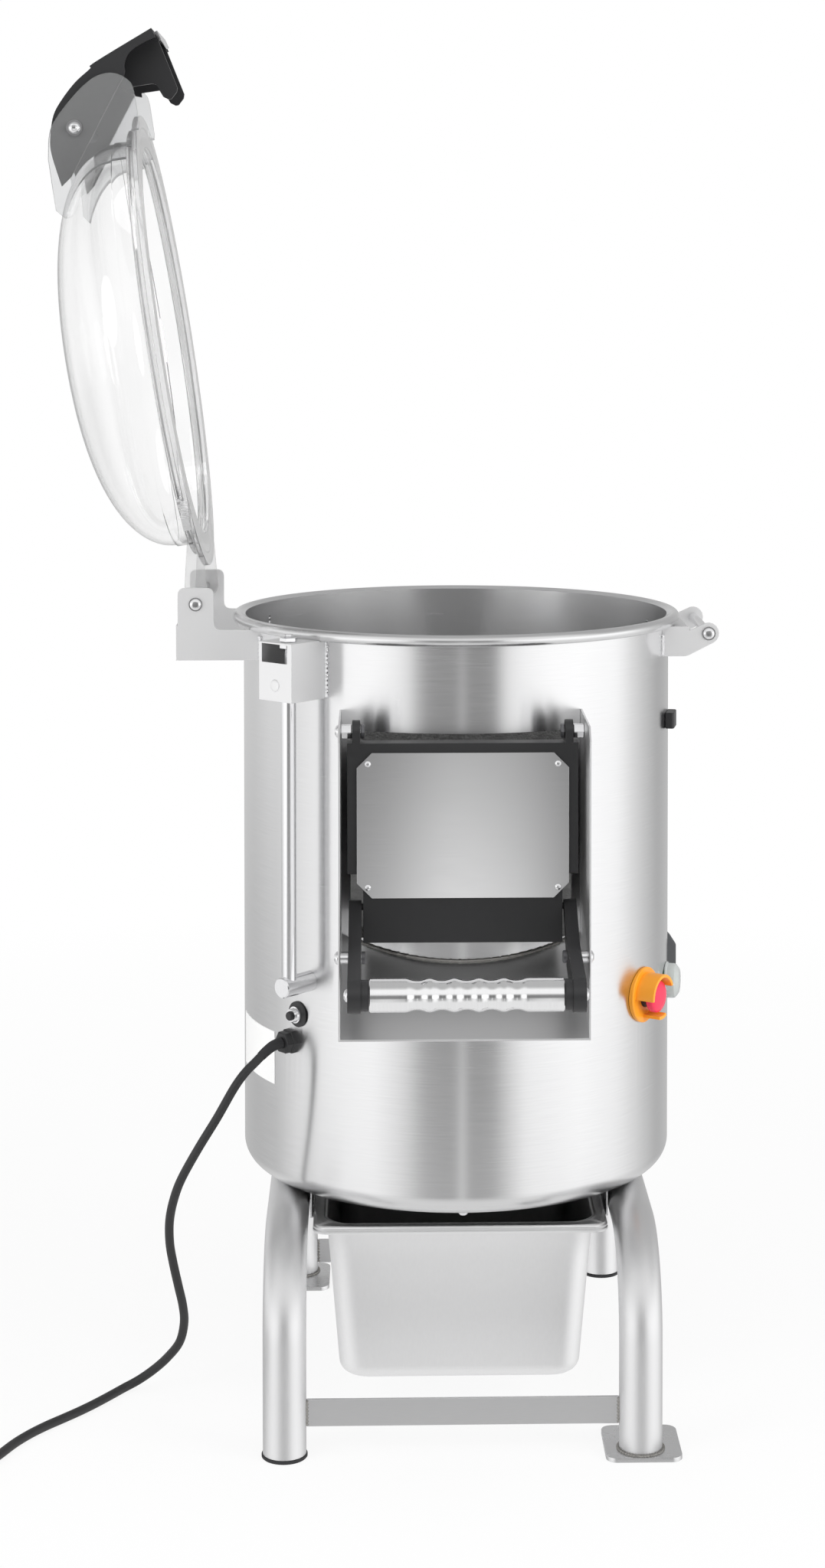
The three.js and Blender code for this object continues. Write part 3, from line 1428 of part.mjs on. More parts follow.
function breakerBody() {
  const face = drumRadius + seatGap;
  const ring = revolveX([
    [breakerButton + runGap, face], [breakerRing, face], [breakerRing, face + drumWall],
    [breakerBush + drumWall, face + drumWall], [breakerBush + drumWall, face + drumWall * 3],
    [breakerBush, face + drumWall * 3], [breakerBush, face + drumWall * 6],
    [breakerButton + runGap, face + drumWall * 6],
  ], 20);
  const rear = revolveX([
    [0, drumInner - breakerRing * 3], [breakerBush, drumInner - breakerRing * 3],
    [breakerBush, face], [breakerBush, face + drumWall], [breakerButton + runGap, face + drumWall],
    [breakerButton + runGap, drumInner - overrun], [0, drumInner - overrun],
  ], 12);
  const seated = seatOnWall(moved(ring, 0, 0, breakerZ), breakerAzimuth);
  return join(seated, moved(rear, 0, 0, breakerZ));
}

function breakerButtonCap() {
  const low = drumInner - overrun + breakerTravel + seatGap;
  const top = drumRadius + drumWall * 8;
  const cap = revolveX([[0, low], [breakerButton, low], [breakerButton, top - drumWall / 2],
    [breakerButton * buttonCrownShare, top], [0, top]], 12);
  return moved(cap, 0, 0, breakerZ);
}

function cableGland() {
  const face = drumRadius + seatGap;
  const flange = hexX(glandAcross, drumRadius - glandFlange, face + glandFlange);
  const cap = hexX(glandCapAcross, face, glandNoseOut);
  const thread = revolveX([
    [0, drumInner - glandThreadLength], [glandThread, drumInner - glandThreadLength],
    [glandThread, face], [0, face],
  ], 12);
  const seated = seatOnWall(moved(flange, 0, 0, glandZ), glandAzimuth);
  return join(seated, moved(join(cap, thread), 0, 0, glandZ));
}

// A piece of a round wall along X between two angles.
function shroudWall(outer, wall, low, high, from, to) {
  const steps = 10;
  const outline = [...arc(0, 0, outer, from, to, steps), ...arc(0, 0, outer - wall, to, from, steps)];
  return prismX(outline, low, high);
}

function stopGuard() {
  const face = drumRadius + seatGap;
  const front = face + stopDiscThickness;
  const bore = stopBody + runGap;
  const disc = revolveX([
    [bore, face - stopDiscThickness], [stopDisc, face - stopDiscThickness],
    [stopDisc, front - drumWall / 2], [stopDisc - drumWall, front], [bore, front],
  ], 28);
  const hood = shroudWall(stopShroud, stopShroudWall, front - drumWall, stopShroudOut,
    ...stopHoodAngles);
  const tongue = shroudWall(stopShroud, stopShroudWall, front - drumWall, stopTongueOut,
    ...stopTongueAngles);
  return seatOnWall(moved(join(disc, hood, tongue), 0, 0, stopZ), stopAzimuth);
}

function stopBodyPiece() {
  const rear = drumInner - stopBodyDepth;
  const stemBore = stopStem + runGap;
  const body = revolveX([
    [0, rear], [stopBody, rear], [stopBody, stopBodyOut], [stemBore, stopBodyOut],
    [stemBore, drumRadius - stopStem], [0, drumRadius - stopStem],
  ], 16);
  return moved(body, 0, 0, stopZ);
}

function stopButton() {
  const stemIn = drumRadius + seatGap;
  const under = stopHeadOut - stopHeadHeight;
  const [side, shoulder, shoulderRise, crown] = stopHeadShares;
  const head = revolveX([
    [0, stemIn], [stopStem, stemIn], [stopStem, under], [stopHead, under],
    [stopHead, under + stopHeadHeight * side], [stopHead * shoulder, under + stopHeadHeight * shoulderRise],
    [stopHead * crown, stopHeadOut], [0, stopHeadOut],
  ], 20);
  return moved(head, 0, 0, stopZ);
}

function startBootCap() {
  const face = drumRadius + seatGap;
  const wall = startBootWall;
  const [slope, crown] = startBootShares;
  const boot = revolveX([
    [startBoot - wall, face], [startBoot, face], [startBoot, startBootOut - startBoot * slope],
    [startBoot * crown, startBootOut], [0, startBootOut], [0, startBootOut - wall],
    [startBoot * crown - wall / 2, startBootOut - wall],
    [startBoot - wall, startBootOut - startBoot * slope - wall / 2],
  ], 20);
  return seatOnWall(moved(boot, 0, 0, startZ), startAzimuth);
}

function startCap() {
  const capLow = startButtonOut - startCapHeight;
  const cap = revolveX([
    [0, startStemIn], [startStem, startStemIn], [startStem, capLow], [startButton, capLow],
    [startButton, startButtonOut - drumWall], [startButton * startCrownShare, startButtonOut], [0, startButtonOut],
  ], 18);
  return moved(cap, 0, 0, startZ);
}

function startContact() {
  const bore = startStem + runGap;
  const boreEnd = startStemIn - startTravel - seatGap;
  const front = startButtonOut - startCapHeight - startTravel - seatGap;
  const body = revolveX([
    [0, startContactIn], [stopBody, startContactIn], [stopBody, front], [bore, front],
    [bore, boreEnd], [0, boreEnd],
  ], 18);
  return moved(body, 0, 0, startZ);
}

function inletBlock() {
  const half = inletWidth / 2;
  const outline = rounded([
    [drumRadius * fittingRootShare, -half, 0], [inletOut, -half, drumWall * 2], [inletOut, half, drumWall * 2],
    [drumRadius * fittingRootShare, half, 0],
  ], 3);
  const low = inletZ - inletHeight / 2;
  return seatOnWall(prismZ(outline, low, low + inletHeight), inletAzimuth);
}

function rearHood() {
  const half = hoodWidth / 2;
  const side = prismY([
    [drumRadius * fittingRootShare, hoodBottomZ], [hoodOut, hoodBottomZ], [hoodOut, hoodTopZ - hoodChamfer],
    [drumRadius + drumWall, hoodTopZ], [drumRadius * fittingRootShare, hoodTopZ],
  ], -half, half);
  return seatOnWall(side, hoodAzimuth);
}

// Cord: chosen points from the gland to where the coil starts

const cordExitAngle = (glandAzimuth - 90) * degree;
const cordOut = glandNoseOut + 2 * seatGap;
const cordExit = [cordOut * Math.cos(cordExitAngle), cordOut * Math.sin(cordExitAngle), glandZ];
const cordPoints = [
  cordExit,
  [-168, -144, 338.4],
  [-174.8, -149.4, 334.3],
  [-182.5, -153.9, 327.5],
  [-192.6, -158, 318],
  [-202.5, -159.8, 304.5],
  [-217.2, -159.4, 278.5],
  [-234.1, -156.9, 250.4],
  [-249.6, -151.5, 221.4],
  [-257.2, -145.3, 200.2],
  [-261.5, -138.2, 178.6],
  [-261.9, -131.2, 156.2],
  [-259.4, -123.3, 134.7],
  [-255.5, -114.4, 110.7],
  [-252.1, -106.4, 89.7],
  [-251.6, -98.4, 70.7],
  [-256.3, -91.3, 50.5],
  [-268, -84.5, 33.7],
  [-281, -79.2, 20.5],
  [-295.4, -76.3, 9.6],
  [-309, -81.9, cordFloor],
  [-321.3, -101.5, cordFloor],
  [-333.5, -119.9, cordFloor],
  [-345.7, -136.3, cordFloor],
  [-357.9, -151.2, cordFloor],
  [-370, -165.9, cordFloor],
  [-381.7, -182.5, cordFloor],
  [-392.8, -202.3, cordFloor],
  [-403.2, -226.8, cordFloor],
  [-414.6, -252, cordFloor],
];
const coilCentre = [-472.8, -253.4];
const coilStartAngle = -26.6;

// The coil's middle line: inward on the lower layer, up a layer, outward again, and
// a short tail to the plug.
function coilLine() {
  const turns = coilTurnsIn + coilClimb + coilTurnsOut;
  const steps = Math.round(turns * coilSteps);
  const line = Array.from({ length: steps + 1 }, (_, step) => {
    const turn = step / coilSteps;
    const climbed = THREE.MathUtils.clamp((turn - coilTurnsIn) / coilClimb, 0, 1);
    const outward = Math.max(turn - coilTurnsIn - coilClimb, 0);
    const inward = Math.min(turn, coilTurnsIn);
    const radius = coilRadius - coilPitch * (inward - outward);
    const angle = (coilStartAngle - turn * 360) * degree;
    return [
      coilCentre[0] + radius * Math.cos(angle),
      coilCentre[1] + radius * Math.sin(angle),
      cordFloor + coilLayerRise * climbed,
    ];
  });
  const end = new THREE.Vector3(...line[line.length - 1]);
  const before = new THREE.Vector3(...line[line.length - 2]);
  const heading = end.clone().sub(before).normalize();
  const rise = (plugRadius - end.z) / 3;
  const tail = [1, 2, 3].map((step) => end.clone()
    .addScaledVector(heading, step * cordDiameter * 1.2)
    .add(new THREE.Vector3(0, 0, step * rise)).toArray());
  const last = new THREE.Vector3(...tail[2]);
  const straight = last.clone().addScaledVector(heading, cordDiameter).toArray();
  return { line: [...line, ...tail, straight], heading };
}

// The smallest gap between two turns of a tube, measured on its middle line.
function leastGap(line, diameter) {
  const apart = Math.round(coilSteps / 3);
  let least = Infinity;
  line.forEach((point, at) => line.slice(at + apart).forEach((other) => {
    const gap = Math.hypot(point[0] - other[0], point[1] - other[1], point[2] - other[2]) - diameter;
    least = Math.min(least, gap);
  }));
  return least;
}

function powerCord(coilStart) {
  const from = new THREE.Vector3(...cordPoints[cordPoints.length - 1]);
  const end = new THREE.Vector3(...coilStart);
  const apart = end.distanceTo(from);
  end.lerp(from, coilJoint / apart);
  const points = [...cordPoints.map((point) => new THREE.Vector3(...point)), end];
  const curve = new THREE.CatmullRomCurve3(points, false, 'centripetal');
  const section = new THREE.Shape(arc(0, 0, cordDiameter / 2, 0, 360 - 360 / cordSides, cordSides - 1)
    .map(([x, y]) => new THREE.Vector2(x, y)));
  const geometry = new THREE.ExtrudeGeometry(section, { steps: 38, bevelEnabled: false, extrudePath: curve });
  return { body: solid(geometry), length: curve.getLength() };
}

// A round two-pin plug with a stepped neck, along a heading from where the cord ends.
function powerPlug(from, heading) {
  const half = plugRadius;
  const body = revolveX([
    [0, 0], [cordDiameter * 0.75, 0], [cordDiameter, plugNose], [half * 0.8, plugNose + overrun],
    [half, plugNose + plugLength * 0.3], [half, plugNose + plugLength], [0, plugNose + plugLength],
  ], 20);
  const pinStart = plugNose + plugLength - overrun;
  const pin = barX(plugPinSpacing / 2, 0, plugPinRadius, pinStart, pinStart + plugPinLength, 10);
  const whole = join(body, pin, mirroredY(pin));
  const bearing = Math.atan2(heading.y, heading.x) / degree;
  return moved(turned(whole, 0, 0, bearing), from[0], from[1], from[2]);
}

// Assembly

part('drum_shell', drumShell(), finish.brushed);
part('stand_tube_left', standTube(-1, 1), finish.satin);
part('stand_tube_right', standTube(1, -1), finish.satin);
part('rubber_foot_front_left', rubberFoot(-1, -1), finish.rubber);
part('rubber_foot_back_right', rubberFoot(1, 1), finish.rubber);
part('front_crossbar', crossBar(-1, frontBarZ), finish.satin);
part('back_crossbar', crossBar(1, backBarZ), finish.satin);
part('pan_rail_left', panRail(-1), finish.satin);
part('pan_rail_right', panRail(1), finish.satin);
part('peel_pan', peelPan(), finish.polished);

part('bottom_cover', bottomCover(), finish.satin);
part('chamber_floor', chamberFloor(), finish.satin);
part('abrasive_liner', abrasiveLiner(), finish.abrasive);
part('turntable', turntable(), finish.abrasive);
part('main_shaft', mainShaft(), finish.iron);
part('bearing_housing', bearingHousing(), finish.iron);
part('motor', motor(), finish.iron);
part('motor_pulley', motorPulley(), finish.iron);
part('drive_belt', driveBelt(), finish.rubber);
part('contactor_box', contactorBox(), finish.grey);

part('discharge_chute', dischargeChute(), finish.brushed);
part('door_panel', doorPanel(), finish.black);
part('door_plate', doorPlate(), finish.brushed);
part('door_pivot_right', doorPivot(), finish.polished);
part('door_pivot_left', mirroredX(doorPivot()), finish.polished);
part('door_arm_right', doorArm(), finish.black);
part('door_arm_left', mirroredX(doorArm()), finish.black);
part('lever_pivot_right', leverPivot(), finish.polished);
part('lever_pivot_left', mirroredX(leverPivot()), finish.polished);
part('lever_grip', leverGrip(), finish.aluminium);

part('lid_hinge_bracket', hingeBracket(), finish.brushed);
part('lid_hinge_pin', lidHingePin(), finish.polished);
part('latch_bracket', latchBracket(), finish.brushed);
part('catch_pin', catchPin(), finish.polished);

// The lid swings open about its hinge, past upright
const lidSwing = new THREE.Group();
lidSwing.position.set(hingeX, 0, hingeZ);
lidSwing.rotation.y = -lidOpenAngle * degree;
machine.add(lidSwing);
const lid = new THREE.Group();
lid.position.set(-hingeX, 0, -hingeZ);
lidSwing.add(lid);
part('lid_ring', lidRing(), finish.clear, lid);
part('lid_dome', lidDome(), finish.clear, lid);
part('latch_ear_back', latchEar(), finish.clear, lid);
part('latch_ear_front', mirroredY(latchEar()), finish.clear, lid);
part('latch_bolt_back', latchBolt(), finish.polished, lid);
part('latch_bolt_front', mirroredY(latchBolt()), finish.polished, lid);
part('latch_lever', latchLever(), finish.black, lid);
part('lid_magnet', lidMagnet(), finish.polished, wallGroup(switchAzimuth, lid));

const switchWall = wallGroup(switchAzimuth);
part('switch_box', switchBox(), finish.brushed, switchWall);
part('lid_sensor', lidSensor(), finish.polished, switchWall);
part('wire_conduit', wireConduit(), finish.satin, switchWall);
const breakerWall = wallGroup(breakerAzimuth);
part('breaker_body', breakerBody(), finish.black, breakerWall);
part('breaker_button', breakerButtonCap(), finish.black, breakerWall);
part('cable_gland', cableGland(), finish.black, wallGroup(glandAzimuth));
const stopWall = wallGroup(stopAzimuth);
part('stop_guard', stopGuard(), finish.orange, stopWall);
part('stop_body', stopBodyPiece(), finish.black, stopWall);
part('stop_button', stopButton(), finish.red, stopWall);
const startWall = wallGroup(startAzimuth);
part('start_boot', startBootCap(), finish.boot, startWall);
part('start_button', startCap(), finish.green, startWall);
part('start_contact', startContact(), finish.black, startWall);
part('inlet_block', inletBlock(), finish.black, wallGroup(inletAzimuth));
part('rear_hood', rearHood(), finish.grey, wallGroup(hoodAzimuth));

const coil = coilLine();
const cord = powerCord(coil.line[0]);
part('power_cord', cord.body, finish.cord);
part('cord_coil', skin(tubeRings(coil.line, cordDiameter / 2, coilSides)), finish.cord);
const coilEnd = coil.line[coil.line.length - 1];
const plugStart = [
  coilEnd[0] + coil.heading.x * seatGap,
  coilEnd[1] + coil.heading.y * seatGap,
  coilEnd[2],
];
part('power_plug', powerPlug(plugStart, coil.heading), finish.cord);

const coilLength = coil.line.slice(1).reduce((sum, point, at) => sum + Math.hypot(
  point[0] - coil.line[at][0], point[1] - coil.line[at][1], point[2] - coil.line[at][2],
), 0);
console.log(`least gap between the coil's turns: ${leastGap(coil.line, cordDiameter).toFixed(2)} mm`);
console.log(`cord length: ${(cord.length + coilLength).toFixed(0)} mm`);

export default root;
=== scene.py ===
"""Electric potato peeler: a studio scene and finished surfaces round its fixed frame.

Run as a script in Blender 4.5. Lengths are millimetres from the drum's axis and the
floor until a mesh is made, and metres in the scene.
"""
import math

import bmesh
import bpy
from mathutils import Matrix, Vector


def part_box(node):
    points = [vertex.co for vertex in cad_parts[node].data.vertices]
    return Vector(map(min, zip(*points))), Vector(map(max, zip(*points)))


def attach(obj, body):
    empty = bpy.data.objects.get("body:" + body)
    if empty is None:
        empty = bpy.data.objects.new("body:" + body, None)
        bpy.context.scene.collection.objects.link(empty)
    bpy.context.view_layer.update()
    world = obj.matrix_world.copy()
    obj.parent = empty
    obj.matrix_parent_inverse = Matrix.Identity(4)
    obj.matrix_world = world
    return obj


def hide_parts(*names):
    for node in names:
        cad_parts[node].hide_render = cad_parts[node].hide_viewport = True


bl_info = {
    "name": "Potato Peeler Finish",
    "version": (1, 0, 0),
    "blender": (4, 5, 0),
    "location": "View3D > Sidebar > Peeler",
    "description": "Builds the finished potato peeler and its studio",
    "category": "Object",
}

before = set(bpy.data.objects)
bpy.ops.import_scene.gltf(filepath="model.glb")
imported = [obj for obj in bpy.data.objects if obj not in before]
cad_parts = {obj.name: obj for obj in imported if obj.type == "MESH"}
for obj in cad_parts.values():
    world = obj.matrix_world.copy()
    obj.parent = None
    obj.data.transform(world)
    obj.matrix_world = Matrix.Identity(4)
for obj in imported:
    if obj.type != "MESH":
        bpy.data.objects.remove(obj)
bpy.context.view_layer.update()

MM = 0.001
DRUM_LOW, DRUM_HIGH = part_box("drum_shell")
AXIS_X = (DRUM_LOW.x + DRUM_HIGH.x) / 2
AXIS_Y = (DRUM_LOW.y + DRUM_HIGH.y) / 2
TO_ROW = Matrix.Translation((AXIS_X, AXIS_Y, 0)) @ Matrix.Diagonal((MM, MM, MM, 1))


# Sizes in millimetres, and azimuths in degrees from the front

# Drum and its openings
DRUM_RADIUS = 200
DRUM_WALL = 1.5
DRUM_BOTTOM = 199
DRUM_FILLET = 19
RIM_Z = 710
RIM_BEAD = 5.15
MOUTH_RADIUS = 112
OPENING_HALF = 98
OPENING_LOW = 444
OPENING_HIGH = 628
ROUND_SIDES = 160

# The weld where the chute's sloping floor meets the drum
CHUTE_WELD_Z = 428.2
CHUTE_SLOPE = 0.595
CHUTE_WELD_HALF = 96

# Lid, drawn closed, and its swing
HINGE_X = -240
HINGE_Z = 729.4
LID_OPEN = 98.64
LID_Z = 715.65
LID_RADIUS = 213
UPSTAND_RADIUS = 201
DOME_RADIUS = 190
DOME_RISE = 73
DOME_WALL = 3
DOME_POWER = 2.6
DOME_STEPS = 26
SKIRT_RADIUS = 191.3
SKIRT_Z = LID_Z + 28

# Latch lever, its ears and the pin that it catches
LATCH_X = 205
LATCH_Z = 771
LATCH_REACH = (79.6, 82)
EAR_REACH = (44.6, 58.2)
CATCH_X = 231.7
CATCH_Z = 698.9
HOOK_THROAT = 5.7
CATCH_THICK_HALF = 63.2
PIN_BORE = 3.25
LUG_FACES = (76.5, 81.5)
EAR_FACES = (83, 88)
FLANGE_FACES = (78.5, 82.5)
HOOK_FACES = (43, 47)

# Controls on the drum
BREAKER_AZIMUTH = -46.7
BREAKER_Z = 365.4
STOP_AZIMUTH = 57
STOP_Z = 374
START_AZIMUTH = 77
START_Z = 371

# Door's and lever's pivots, as (y, z), and the parts beside the chute
DOOR_PIVOT = (-215, 633)
LEVER_PIVOT = (-262, 446)
LEVER_TIP = (-217, 480)
GRIP_AT = (-335, 432)
PIVOT_BORE = 4.25
ARM_INNER = 88
ARM_OUTER = 99
CHUTE_FACE = 107.8
HEAD_RADIUS = 5.4
HEAD_HEIGHT = 3.3
NUT_ACROSS = 11.5
CHAMFER = 0.93

# A weld's ripple: (height, pace along the bead)
PLATE_RIPPLE = (0.3, 1.9)
BAR_RIPPLE = (0.35, 2.1)
WALL_RIPPLE = (0.35, 1.7)

# Mirrored pieces, in the order in which they are made
SIDES = ((-1, "left"), (1, "right"))
LATCH_SIDES = ((1, "back"), (-1, "front"))
RIM_SIDES = ((-1, "front"), (1, "back"))


# Geometry

def arc(cx, cy, radius, start, end, steps):
    """Points on an arc, both ends included."""
    points = []
    for step in range(steps + 1):
        angle = math.radians(start + (end - start) * step / steps)
        points.append((cx + radius * math.cos(angle), cy + radius * math.sin(angle)))
    return points


def rounded(corners, steps):
    """A polygon whose corners (x, y, radius) are rounded."""
    points = []
    for at, (x, y, radius) in enumerate(corners):
        here = Vector((x, y))
        back = (Vector(corners[at - 1][:2]) - here).normalized()
        ahead = (Vector(corners[(at + 1) % len(corners)][:2]) - here).normalized()
        half = back.angle(ahead) / 2
        reach = radius / math.tan(half)
        centre = here + (back + ahead).normalized() * (radius / math.sin(half))
        start = here + back * reach - centre
        end = here + ahead * reach - centre
        first = math.atan2(start.y, start.x)
        turn = math.atan2(end.y, end.x) - first
        turn = (turn + math.pi) % (2 * math.pi) - math.pi
        for step in range(steps + 1):
            angle = first + turn * step / steps
            points.append((centre.x + radius * math.cos(angle), centre.y + radius * math.sin(angle)))
    return points


def link_outline(a, b, steps=20):
    """The outline round two circles (x, y, radius) and the sides that touch both."""
    along = math.degrees(math.atan2(b[1] - a[1], b[0] - a[0]))
    apart = math.hypot(b[0] - a[0], b[1] - a[1])
    lean = math.degrees(math.acos((a[2] - b[2]) / apart))
    return (arc(a[0], a[1], a[2], along + lean, along + 360 - lean, steps)
            + arc(b[0], b[1], b[2], along - lean, along + lean, steps))


def smooth_line(points, steps, closed=False, keep=()):
    """A Catmull-Rom line through points, which stays sharp at the places in keep."""
    count = len(points)
    spans = count if closed else count - 1
    line = []
    for at in range(spans):
        p1 = Vector(points[at])
        p2 = Vector(points[(at + 1) % count])
        before = points[(at - 1) % count] if closed else points[max(at - 1, 0)]
        after = points[(at + 2) % count] if closed else points[min(at + 2, count - 1)]
        p0 = p1 if at in keep else Vector(before)
        p3 = p2 if (at + 1) % count in keep else Vector(after)
        for step in range(steps):
            t = step / steps
            tangent_a = (p2 - p0) / 2
            tangent_b = (p3 - p1) / 2
            point = ((2 * t ** 3 - 3 * t ** 2 + 1) * p1 + (t ** 3 - 2 * t ** 2 + t) * tangent_a
                     + (3 * t ** 2 - 2 * t ** 3) * p2 + (t ** 3 - t ** 2) * tangent_b)
            line.append(tuple(point))
    if not closed:
        line.append(tuple(points[-1]))
    return line


class Solid:
    """Vertices and faces in millimetres that become one Blender mesh."""

    def __init__(self):
        self.verts = []
        self.faces = []

    def add(self, verts, faces):
        """Adds a set of vertices and its faces."""
        first = len(self.verts)
        self.verts.extend(Vector(v) for v in verts)
        self.faces.extend([tuple(first + i for i in face) for face in faces])
        return self

    def join(self, other):
        """Adds another solid."""
        return self.add(other.verts, other.faces)

    def moved(self, matrix):
        """This solid under a matrix."""
        self.verts = [matrix @ v for v in self.verts]
        return self

    def shift(self, x, y, z):
        """This solid moved."""
        return self.moved(Matrix.Translation((x, y, z)))

    def mirror(self, axis):
        """The mirror image across the plane where one axis is zero."""
        scale = [1, 1, 1]
        scale[axis] = -1
        self.moved(Matrix.Diagonal((*scale, 1)))
        self.faces = [tuple(reversed(face)) for face in self.faces]
        return self

    def sided(self, side, axis):
        """This solid, or its mirror image where side is negative."""
        return self.mirror(axis) if side < 0 else self


def grid_faces(rows, columns, wrap_rows=False, wrap_columns=True):
    """Faces of a grid of points."""
    faces = []
    for row in range(rows if wrap_rows else rows - 1):
        for column in range(columns if wrap_columns else columns - 1):
            a = row * columns + column
            b = row * columns + (column + 1) % columns
            c = ((row + 1) % rows) * columns + (column + 1) % columns
            d = ((row + 1) % rows) * columns + column
            faces.append((a, b, c, d))
    return faces


def lathe(profile, segments, closed=True):
    """A profile of (radius, height) turned about Z. Ends on the axis are capped."""
    body = Solid()
    verts = []
    faces = []
    rings = []
    for radius, height in profile:
        if radius < 1e-6:
            rings.append([len(verts)])
            verts.append((0, 0, height))
            continue
        ring = []
        for side in range(segments):
            angle = 2 * math.pi * side / segments - math.pi / 2
            ring.append(len(verts))
            verts.append((radius * math.cos(angle), radius * math.sin(angle), height))
        rings.append(ring)
    pairs = list(zip(rings, rings[1:]))
    if closed and len(rings[0]) > 1 and len(rings[-1]) > 1:
        pairs.append((rings[-1], rings[0]))
    for low, high in pairs:
        for side in range(segments):
            after = (side + 1) % segments
            if len(low) == 1 and len(high) == 1:
                continue
            if len(low) == 1:
                faces.append((low[0], high[after], high[side]))
            elif len(high) == 1:
                faces.append((low[side], low[after], high[0]))
            else:
                faces.append((low[side], low[after], high[after], high[side]))
    return body.add(verts, faces)


def lathe_x(profile, segments):
    """The same about X: the points are (radius, x)."""
    return lathe(profile, segments).moved(Matrix.Rotation(math.radians(90), 4, "Y"))


def lathe_y(profile, segments):
    """The same about Y: the points are (radius, y)."""
    return lathe(profile, segments).moved(Matrix.Rotation(math.radians(-90), 4, "X"))


def rod(radius, low, high, sides, turned=lathe):
    """A plain cylinder, along the axis of the function that turns it."""
    return turned([(0, low), (radius, low), (radius, high), (0, high)], sides)


def hexagon(across):
    """The corner radius of a hexagon that is so wide across its flats."""
    return across / 2 / math.cos(math.radians(30))


def prism(outline, low, high, axis):
    """An outline pulled along an axis: (y, z) along X, (x, z) along Y or (x, y) along Z."""
    place = {
        "X": lambda p, at: (at, p[0], p[1]),
        "Y": lambda p, at: (p[0], at, p[1]),
        "Z": lambda p, at: (p[0], p[1], at),
    }[axis]
    count = len(outline)
    verts = [place(p, low) for p in outline] + [place(p, high) for p in outline]
    faces = grid_faces(2, count)
    faces.append(tuple(range(count - 1, -1, -1)))
    faces.append(tuple(range(count, 2 * count)))
    return Solid().add(verts, faces)


def block(low, high):
    """A block between two corners."""
    outline = [(low[0], low[1]), (high[0], low[1]), (high[0], high[1]), (low[0], high[1])]
    return prism(outline, low[2], high[2], "Z")


def sweep(points, radius, sides, cap=True):
    """A round tube along points, with one radius or a list of them, and flat or open ends."""
    at = [Vector(p) for p in points]
    heading = []
    for step in range(len(at)):
        before = at[max(step - 1, 0)]
        after = at[min(step + 1, len(at) - 1)]
        heading.append((after - before).normalized())
    first = Vector((0, 0, 1)) if abs(heading[0].z) < 0.9 else Vector((1, 0, 0))
    across = first.cross(heading[0]).normalized()
    verts = []
    for step, point in enumerate(at):
        across = (across - heading[step] * across.dot(heading[step])).normalized()
        up = heading[step].cross(across)
        size = radius[step] if isinstance(radius, list) else radius
        for side in range(sides):
            angle = 2 * math.pi * side / sides
            verts.append(point + size * (across * math.cos(angle) + up * math.sin(angle)))
    faces = grid_faces(len(at), sides)
    if cap:
        faces.append(tuple(range(sides - 1, -1, -1)))
        faces.append(tuple(range((len(at) - 1) * sides, len(at) * sides)))
    return Solid().add(verts, faces)


def bead(points, radius, sides, ripple, pace):
    """A rippled weld along points."""
    radii = [radius + ripple * math.sin(step * pace) for step in range(len(points))]
    return sweep(points, radii, sides)


def wall_place(azimuth):
    """The matrix that turns +X to point out of the drum at an azimuth, 0 at the front."""
    return Matrix.Rotation(math.radians(azimuth - 90), 4, "Z")


def lid_place():
    """The matrix that swings the closed lid open."""
    return (Matrix.Translation((HINGE_X, 0, HINGE_Z))
            @ Matrix.Rotation(math.radians(-LID_OPEN), 4, "Y")
            @ Matrix.Translation((-HINGE_X, 0, -HINGE_Z)))


def mesh_object(name, solid):
    """A linked object of a solid, in the row's metres."""
    mesh = bpy.data.meshes.new(name)
    mesh.from_pydata([TO_ROW @ v for v in solid.verts], [], solid.faces)
    made = bpy.data.objects.new(name, mesh)
    bpy.context.scene.collection.objects.link(made)
    clean = bmesh.new()
    clean.from_mesh(mesh)
    bmesh.ops.remove_doubles(clean, verts=clean.verts, dist=1e-7)
    bmesh.ops.recalc_face_normals(clean, faces=clean.faces)
    clean.to_mesh(mesh)
    clean.free()
    return made


def settle(made):
    """Applies an object's modifiers to its mesh."""
    bpy.context.view_layer.update()
    graph = bpy.context.evaluated_depsgraph_get()
    mesh = bpy.data.meshes.new_from_object(made.evaluated_get(graph))
    made.modifiers.clear()
    made.data = mesh
    return made


def cut(made, *cutters, operation="DIFFERENCE"):
    """Cuts solids out of an object."""
    for solid in cutters:
        tool = mesh_object("cutter", solid)
        change = made.modifiers.new("cut", "BOOLEAN")
        change.operation = operation
        change.solver = "EXACT"
        change.object = tool
        settle(made)
        bpy.data.objects.remove(tool)
    return made


FINISH = {}


def dress(made, body, finish, bevel=0.0, segments=2, angle=32, nodes=()):
    """Bevels and shades a piece, gives it its finish and hangs it on its body."""
    if bevel:
        change = made.modifiers.new("edges", "BEVEL")
        change.width = bevel * MM
        change.segments = segments
        change.limit_method = "ANGLE"
        change.angle_limit = math.radians(angle)
        change.miter_outer = "MITER_ARC"
        settle(made)
    made.data.shade_smooth()
    made.data.set_sharp_from_angle(angle=math.radians(angle))
    if bevel:
        weighted = made.modifiers.new("weighted", "WEIGHTED_NORMAL")
        weighted.keep_sharp = True
        settle(made)
    made.data.materials.clear()
    made.data.materials.append(FINISH[finish])
    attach(made, body)
    if nodes:
        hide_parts(*nodes)
    return made


